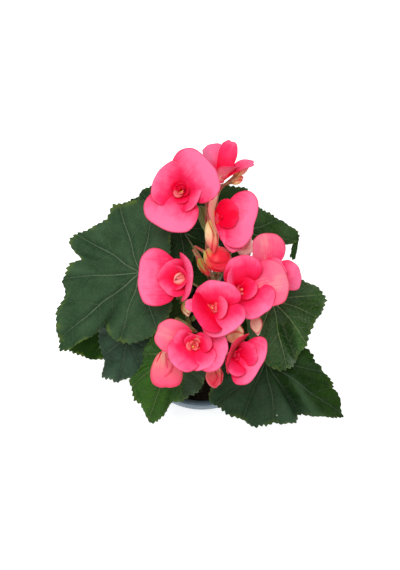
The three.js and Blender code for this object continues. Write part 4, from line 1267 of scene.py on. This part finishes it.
def ruffled(rng, amount, notch=0.0):
    # small waves that grow towards a petal's edge, and a soft notch at its tip
    phases = [rng.uniform(0, tau) for _ in range(4)]
    counts = [rng.choice((3, 4, 5)), rng.choice((7, 8, 9)), 2]

    def shape(s, t, out, turn):
        lift = amount * out ** 3 * (np.sin(counts[0] * turn + phases[0]) * 0.8
                                    + np.sin(counts[1] * turn + phases[1]) * 0.25)
        lift = lift - 0.5 * amount * np.exp(-(t / 0.16) ** 2) * np.clip(s * 2, 0, 1)
        stretch = 0.008 * out ** 2 * np.sin(counts[1] * turn + phases[2])
        stretch = stretch - notch * np.exp(-(t / 0.2) ** 2) * np.clip(s - 0.6, 0, 1)
        widen = 0.02 * out ** 2 * np.sin(counts[0] * turn + phases[3])
        return lift * np.clip(s * 1.6, 0.1, 1), stretch, widen

    return shape


def makeFlower(name, flower, seed):
    rng = random.Random(seed)
    axis, across, upward = flowerFrame(flower["face"])
    origin = rise(flower["at"])
    piece = Piece()

    def petal(turn, opens, size, tone, sides, cup, inset, grid, ruffle, lift=0.0):
        around = math.radians(turn)
        outward = across * math.cos(around) + upward * math.sin(around)
        shape = ruffled(rng, ruffle, rng.uniform(0.0, 0.1))
        foot = origin + outward * inset + axis * lift
        flare = flower.get("flare", petalFinish["flare"])
        points, place = petalPoints(foot, axis, outward, size, opens, cup, grid, shape, flare)
        out = place[:, 2]
        thick = petalFinish["thickness"] * (1 - out ** 4) + petalFinish["edgeThickness"] * out ** 4
        piece.sheet(points, grid, thick, place, (tone, rng.random(), 0), sides)

    for turn, openBase, openTip, length, width, tone, back, *face in flower["petals"]:
        ruffle = petalFinish["ruffle"] * min(1, width / 36)
        sides = (face[0] if face else pinkFace, back)
        petal(turn, (openBase, openTip), (length, width), tone, sides, flower.get("cup", petalFinish["cup"]),
              petalFinish["inset"], petalFinish["grid"], ruffle)
    ball = flower.get("ball")
    size = flower["heartSize"]
    for k in range(flower["heart"]):
        share = (k + 0.5) / flower["heart"]
        turn = k * petalFinish["heartTurn"] + rng.uniform(-20, 20)
        if ball:
            lean = (48 + 6 * share, -66 + 14 * share)
            length = size * (0.95 + 0.25 * share)
        else:
            spread = flower.get("heartSpread", 1.0)
            lean = (5 + 30 * share * spread + rng.uniform(-5, 5),
                    10 + 45 * share * spread + rng.uniform(-10, 15))
            length = size * (0.75 + 0.5 * share) * rng.uniform(0.85, 1.15)
        tone = flower.get("heartTone", -0.35) + rng.uniform(-0.35, 0.35)
        face = flower.get("heartLook", pinkFace)
        if flower.get("mixedHeart") and k % 5 == 2:
            face = innerRed
        broad = 0.95 if ball else rng.uniform(0.6, 0.95)
        back = ballCream if ball else rng.choice((pink, coral))
        cup, ruffle = (1.3, 0.12) if ball else (rng.uniform(0.6, 1.0), 0.3)
        petal(turn, lean, (length, length * broad), tone, (face, back), cup, 0.6 + 1.6 * share,
              petalFinish["heartGrid"], ruffle, flower.get("heartLift", 1.0))
    if ball:  # the closed middle that the heart's petals wrap
        radii = [size * petalFinish["ballRadius"] * wide for wide in petalFinish["ballSwell"]]
        core = [origin + axis * size * petalFinish["ballStep"] * k for k in range(len(radii))]
        piece.tube(core, radii, ballCream, (0, 0.5, 0), 20)
    for k in range(flower["stamens"]):
        turn, lean = rng.uniform(0, tau), rng.uniform(0, 0.5)
        outward = across * math.cos(turn) + upward * math.sin(turn)
        direction = unit(axis + outward * lean)
        start = origin + axis * 2 + outward * lean * 3
        length = rng.uniform(*petalFinish["stamenLength"])
        path = [start + direction * length * w for w in petalFinish["stamenSteps"]]
        piece.tube(path, petalFinish["stamenRadii"], stamen, (0, 0, 0), 8)
    r = growth["receptacleRadius"]  # the round base that the petals grow from
    shares = np.linspace(0, 1, 12)
    bulges = [math.sin(math.pi * w) ** 0.6 if 0 < w < 1 else 0.12 for w in shares]
    path = [origin + axis * r * (1.1 * w - 0.45) for w in shares]
    piece.tube(path, [r * 0.92 * b for b in bulges], coral, (0, 0.5, 0), 20)
    piece.make(name + "_petals", petalLooks + [stamenLook], name)


for number, (flowerName, flower) in enumerate(flowers.items()):
    makeFlower(flowerName, flower, seeds["flower"] + number)
print("flowers made")


# Buds: size is length, width and depth, spin turns a bud round its length, and a small plump fills its ends.
# The colours run from the base to the tip, and "edge" is the colour of the tepals' edges.

budRed, budCream, budGreen = (0.62, 0.004, 0.02), (0.92, 0.62, 0.3), (0.36, 0.38, 0.05)
buds = {
    "bud_upper_flat": {
        "at": (8, 52, 140), "point": (0.12, -0.98, 0.1), "size": (32, 12, 11), "spin": 84,
        "colours": ((0.72, 0.6, 0.14), (0.93, 0.72, 0.4), (0.85, 0.08, 0.1)), "edge": budRed,
    },
    "bud_round": {
        "at": (13, 36, 126), "point": (0.75, -0.5, 0.2), "size": (27, 23, 21), "plump": 0.6, "spin": 35,
        "colours": ((0.6, 0.56, 0.12), (0.84, 0.03, 0.05), (0.84, 0.006, 0.05)), "edge": (0.7, 0.01, 0.025),
    },
    "bud_small": {
        "at": (1, 34, 112), "point": (0.5, -0.85, 0), "size": (20, 9, 8),
        "colours": (budGreen, (0.3, 0.3, 0.05), (0.6, 0.02, 0.03)), "edge": budRed,
    },
    "bud_pale": {
        "at": (36, 49, 124), "point": (0.25, -0.75, 0.6), "size": (22, 17, 16), "plump": 0.6, "spin": 50,
        "colours": ((0.9, 0.8, 0.5), (0.95, 0.78, 0.64), (0.93, 0.56, 0.5)), "edge": (0.88, 0.3, 0.34),
    },
    "bud_green": {
        "at": (-13, -4, 116), "point": (0.15, -0.95, 0.25), "size": (17, 9, 8),
        "colours": ((0.22, 0.3, 0.05), (0.36, 0.42, 0.08), (0.9, 0.62, 0.4)), "edge": (0.45, 0.06, 0.02),
    },
    "bud_cream": {
        "at": (27, -33, 140), "point": (0.15, 0.4, 0.8), "size": (22, 14, 13),
        "colours": ((0.5, 0.01, 0.02), (0.9, 0.3, 0.14), (0.95, 0.7, 0.4)), "edge": (0.8, 0.1, 0.06),
    },
    "bud_front": {
        "at": (10, -65, 126), "point": (0, -0.95, -0.2), "size": (19, 15, 14), "plump": 0.55, "spin": 60,
        "colours": ((0.9, 0.5, 0.3), (0.86, 0.1, 0.12), (0.78, 0.008, 0.05)), "edge": (0.7, 0.006, 0.04),
    },
    "bud_narrow": {
        "at": (45, -20, 124), "point": (0.15, -0.95, -0.2), "size": (20, 10, 8), "spin": 80,
        "colours": ((0.5, 0.008, 0.02), (0.92, 0.56, 0.42), (0.93, 0.6, 0.46)), "edge": (0.75, 0.01, 0.05),
    },
    "bud_back": {
        "at": (30, 108, 126), "point": (0.9, 0.3, 0.3), "size": (13, 9, 8),
        "colours": ((0.7, 0.5, 0.15), budCream, (0.8, 0.05, 0.07)), "edge": budRed,
    },
    "bud_back_tall": {
        "at": (34, 114, 136), "point": (0.7, 0.6, 0.4), "size": (19, 10, 9),
        "colours": ((0.6, 0.45, 0.1), (0.88, 0.3, 0.2), (0.8, 0.04, 0.09)), "edge": budRed,
    },
}
budGrid, tepalGrid = (22, 30), (10, 40)  # steps along and round a bud, then rings and segments of a tepal


def makeBudLook(name, bud):
    look = Look(name + "Tepal", Specular_IOR_Level=0.3)
    s, t, out = look.values("place")
    wide = look.noise(5, 4)
    ray = look.streaks(t * 7.0, s * 0.7, 2.2)
    fall = s + (wide - 0.5) * 0.35 + (ray - 0.5) * 0.3
    root, middle, tip = bud["colours"]
    colour = look.ramp(fall, (0.08, root), (0.5, middle), (0.92, tip))
    colour = look.blend(out.ease(0.74, 0.96) * 0.9, colour, bud["edge"])
    return look.finish(colour, 0.36 + wide * 0.15, ray, 0.3)


def makeBud(name, bud, seed):
    rng = random.Random(seed)
    length, width, depth = bud["size"]
    plump = bud.get("plump", 0.8)
    axis, across, other = flowerFrame(bud["point"])
    spin = math.radians(bud.get("spin", 0))
    across, other = (across * math.cos(spin) + other * math.sin(spin),
                     other * math.cos(spin) - across * math.sin(spin))
    centre = rise(bud["at"])
    piece = Piece()
    rings, sides = budGrid
    rows, place = [], []
    for k in range(rings + 1):
        w = k / rings
        swell = math.sin(math.pi * min(max(w, 0.012), 0.988)) ** plump * (1 + 0.1 * (0.5 - w))
        for j in range(sides):
            turn = tau * j / sides
            seam = 1 - 0.07 * math.exp(-(math.sin(turn) / 0.16) ** 2)  # a groove where inner tepals meet
            ridge = 1 + 0.02 * math.sin(turn * 6 + 1)
            rows.append(centre + axis * length * (w - 0.5)
                        + across * 0.47 * width * swell * seam * ridge * math.cos(turn)
                        + other * 0.47 * depth * swell * seam * ridge * math.sin(turn))
            place.append([w, math.cos(turn), 0.4 + 0.5 * math.exp(-(math.sin(turn) / 0.2) ** 2)])
    piece.body(np.array(rows), rodFaces(rings + 1, sides), 0, np.array(place), (0, rng.random(), 0))
    count = tepalGrid[0] * tepalGrid[1]
    mirrored = np.concatenate([[0], 1 + np.arange(count).reshape(tepalGrid)[:, ::-1].ravel()])
    out, index = discGrid(*tepalGrid)
    turn = tau * index / tepalGrid[1]
    for facing, cover in ((1, 0.94), (-1, 0.86)):
        s = 0.5 + 0.5 * out * np.cos(turn)
        t = out * np.sin(turn) * (0.75 + 0.35 * s)
        w = np.clip(s * cover, 0.015, 0.985)
        swell = np.sin(np.pi * w) ** plump * (1 + 0.1 * (0.5 - w))
        wrap = t * 1.35 + 0.12 * facing
        lip = 1.05 + 0.05 * out ** 4 + 0.02 * np.sin(5 * turn + facing)
        points = (centre + np.outer(length * (w - 0.5), axis)
                  + np.outer(0.47 * width * swell * np.sin(wrap) * lip, across)
                  + np.outer(facing * 0.47 * depth * swell * np.cos(wrap) * lip, other))
        if facing < 0:  # the back tepal's columns run the other way, so that it faces out too
            points, s = points[mirrored], s[mirrored]
        piece.sheet(points, tepalGrid, 0.45, np.stack([s, t, out], 1), (0, rng.random(), 0), (0, 0))
    base = centre - axis * (length / 2)
    piece.tube([base - axis * 0.2, base + axis * 0.8, base + axis * 1.8, base + axis * 3.0],
               [1.5, 2.0, 2.2, 1.2], 1, (0.5, 0.5, 0), 14)
    piece.make(name + "_tepals", [makeBudLook(name, bud), stalkLook], name)


for number, (budName, bud) in enumerate(buds.items()):
    makeBud(budName, bud, seeds["bud"] + number)
print("buds made")


# Stalks: each forks into one fine stalk for each head.
# A bract has a foot, a direction, a way that it faces, a length, a width and a share of red flush.

bractLook = makeStemLook("oliveBract", (0.09, 0.14, 0.012), (0.2, 0.025, 0.008), (0.2, 0.24, 0.04))
stalks = {
    "stalk_left": {"stem": "stem_left", "fork": (-17, 24, 112), "heads": ("flower_left", "bud_green")},
    "stalk_back": {
        "stem": "stem_back", "side": (2.6, 1.5), "fork": (12, 68, 104),
        "bracts": [((6, 62, 112), (-0.2, 0.9, 0.3), (-0.4, -0.3, 0.85), 27, 14, 0.0)],
        "heads": ("flower_back_left", "flower_back", "flower_upper_right", "bud_pale", "bud_back",
                  "bud_back_tall"),
    },
    "stalk_middle": {
        "stem": "stem_back", "side": (-2.6, -1.5), "fork": (4, 38, 96),
        "heads": ("bud_upper_flat", "bud_round", "bud_small"),
    },
    "stalk_right": {
        "stem": "stem_right", "fork": (31, -2, 108),
        "heads": ("flower_right", "flower_right_back", "bud_narrow"),
    },
    "stalk_front": {
        "stem": "stem_front", "fork": (0, -32, 104),
        "bracts": [((-4, -24, 112), (-0.9, 0.32, 0.4), (0, 0.2, 0.9), 25, 8, 0.35)],
        "heads": ("flower_centre", "flower_front", "flower_front_low", "flower_front_right", "bud_cream",
                  "bud_front"),
    },
}


def headBase(name):
    # where a flower's or a bud's own stalk ends, just short of it, and its direction
    if name in flowers:
        centre, axis, reach = flowers[name]["at"], unit(flowers[name]["face"]), growth["receptacleRadius"] / 2
    else:
        centre, axis, reach = buds[name]["at"], unit(buds[name]["point"]), buds[name]["size"][0] / 2
    return rise(centre) - axis * (reach + growth["touchGap"]), axis


def makeStalk(name, stalk, seed):
    rng = random.Random(seed)
    aside, back = stalk.get("side", (0, 0))
    foot = rise(stems[stalk["stem"]][2]) + np.array([aside, back, 0.4])
    fork = rise(stalk["fork"])
    middle = (foot + fork) / 2 + np.array([0, 0, 2])
    path = smoothPath([foot, middle, fork], 24)
    share = np.linspace(0, 1, len(path))
    radii = growth["stalkRadius"] * (0.85 + 0.2 * np.exp(-((share - 1) / 0.12) ** 2))
    piece = Piece()
    piece.tube(path, radii, 0, (0.35, 0.5, 0), 16)
    for head in stalk["heads"]:
        end, axis = headBase(head)
        near = end - axis * 0.35 * np.linalg.norm(end - fork)
        path = smoothPath([fork, near, end], 26)
        share = np.linspace(0, 1, len(path))
        radii = growth["pedicelRadius"] * (0.85 + 0.35 * np.exp(-(share / 0.1) ** 2) + 0.25 * share ** 6)
        piece.tube(path, radii, 0, (0.6, 0.5, 0), 12)
    for facing in (1, -1):  # two small bracts at the fork
        turn = rng.uniform(0, tau)
        outward = facing * np.array([math.cos(turn), math.sin(turn), 0])
        points, place = petalPoints(fork + outward * 1.6 - [0, 0, 1], np.array([0, 0, 1.0]), outward, (10, 7),
                                    (15, 50), 0.6, (7, 22), ruffled(rng, 0.4))
        piece.sheet(points, (7, 22), 0.5, place, (0.2, 0.5, 0), (0, 0))
    for base, direction, outward, length, width, flush in stalk.get("bracts", ()):
        axis = unit(direction)
        outward = unit(np.array(outward) - axis * np.dot(outward, axis))
        points, place = petalPoints(rise(base), axis, outward, (length, width), (4, 22), 0.7, (10, 40),
                                    ruffled(rng, 0.5))
        piece.sheet(points, (10, 40), 0.6, place, (flush, 0.5, 0), (1, 1))
    piece.make(name + "_stalks", [stalkLook, bractLook], name)


for number, (stalkName, stalk) in enumerate(stalks.items()):
    makeStalk(stalkName, stalk, seeds["stalk"] + number)
print("stalks made")
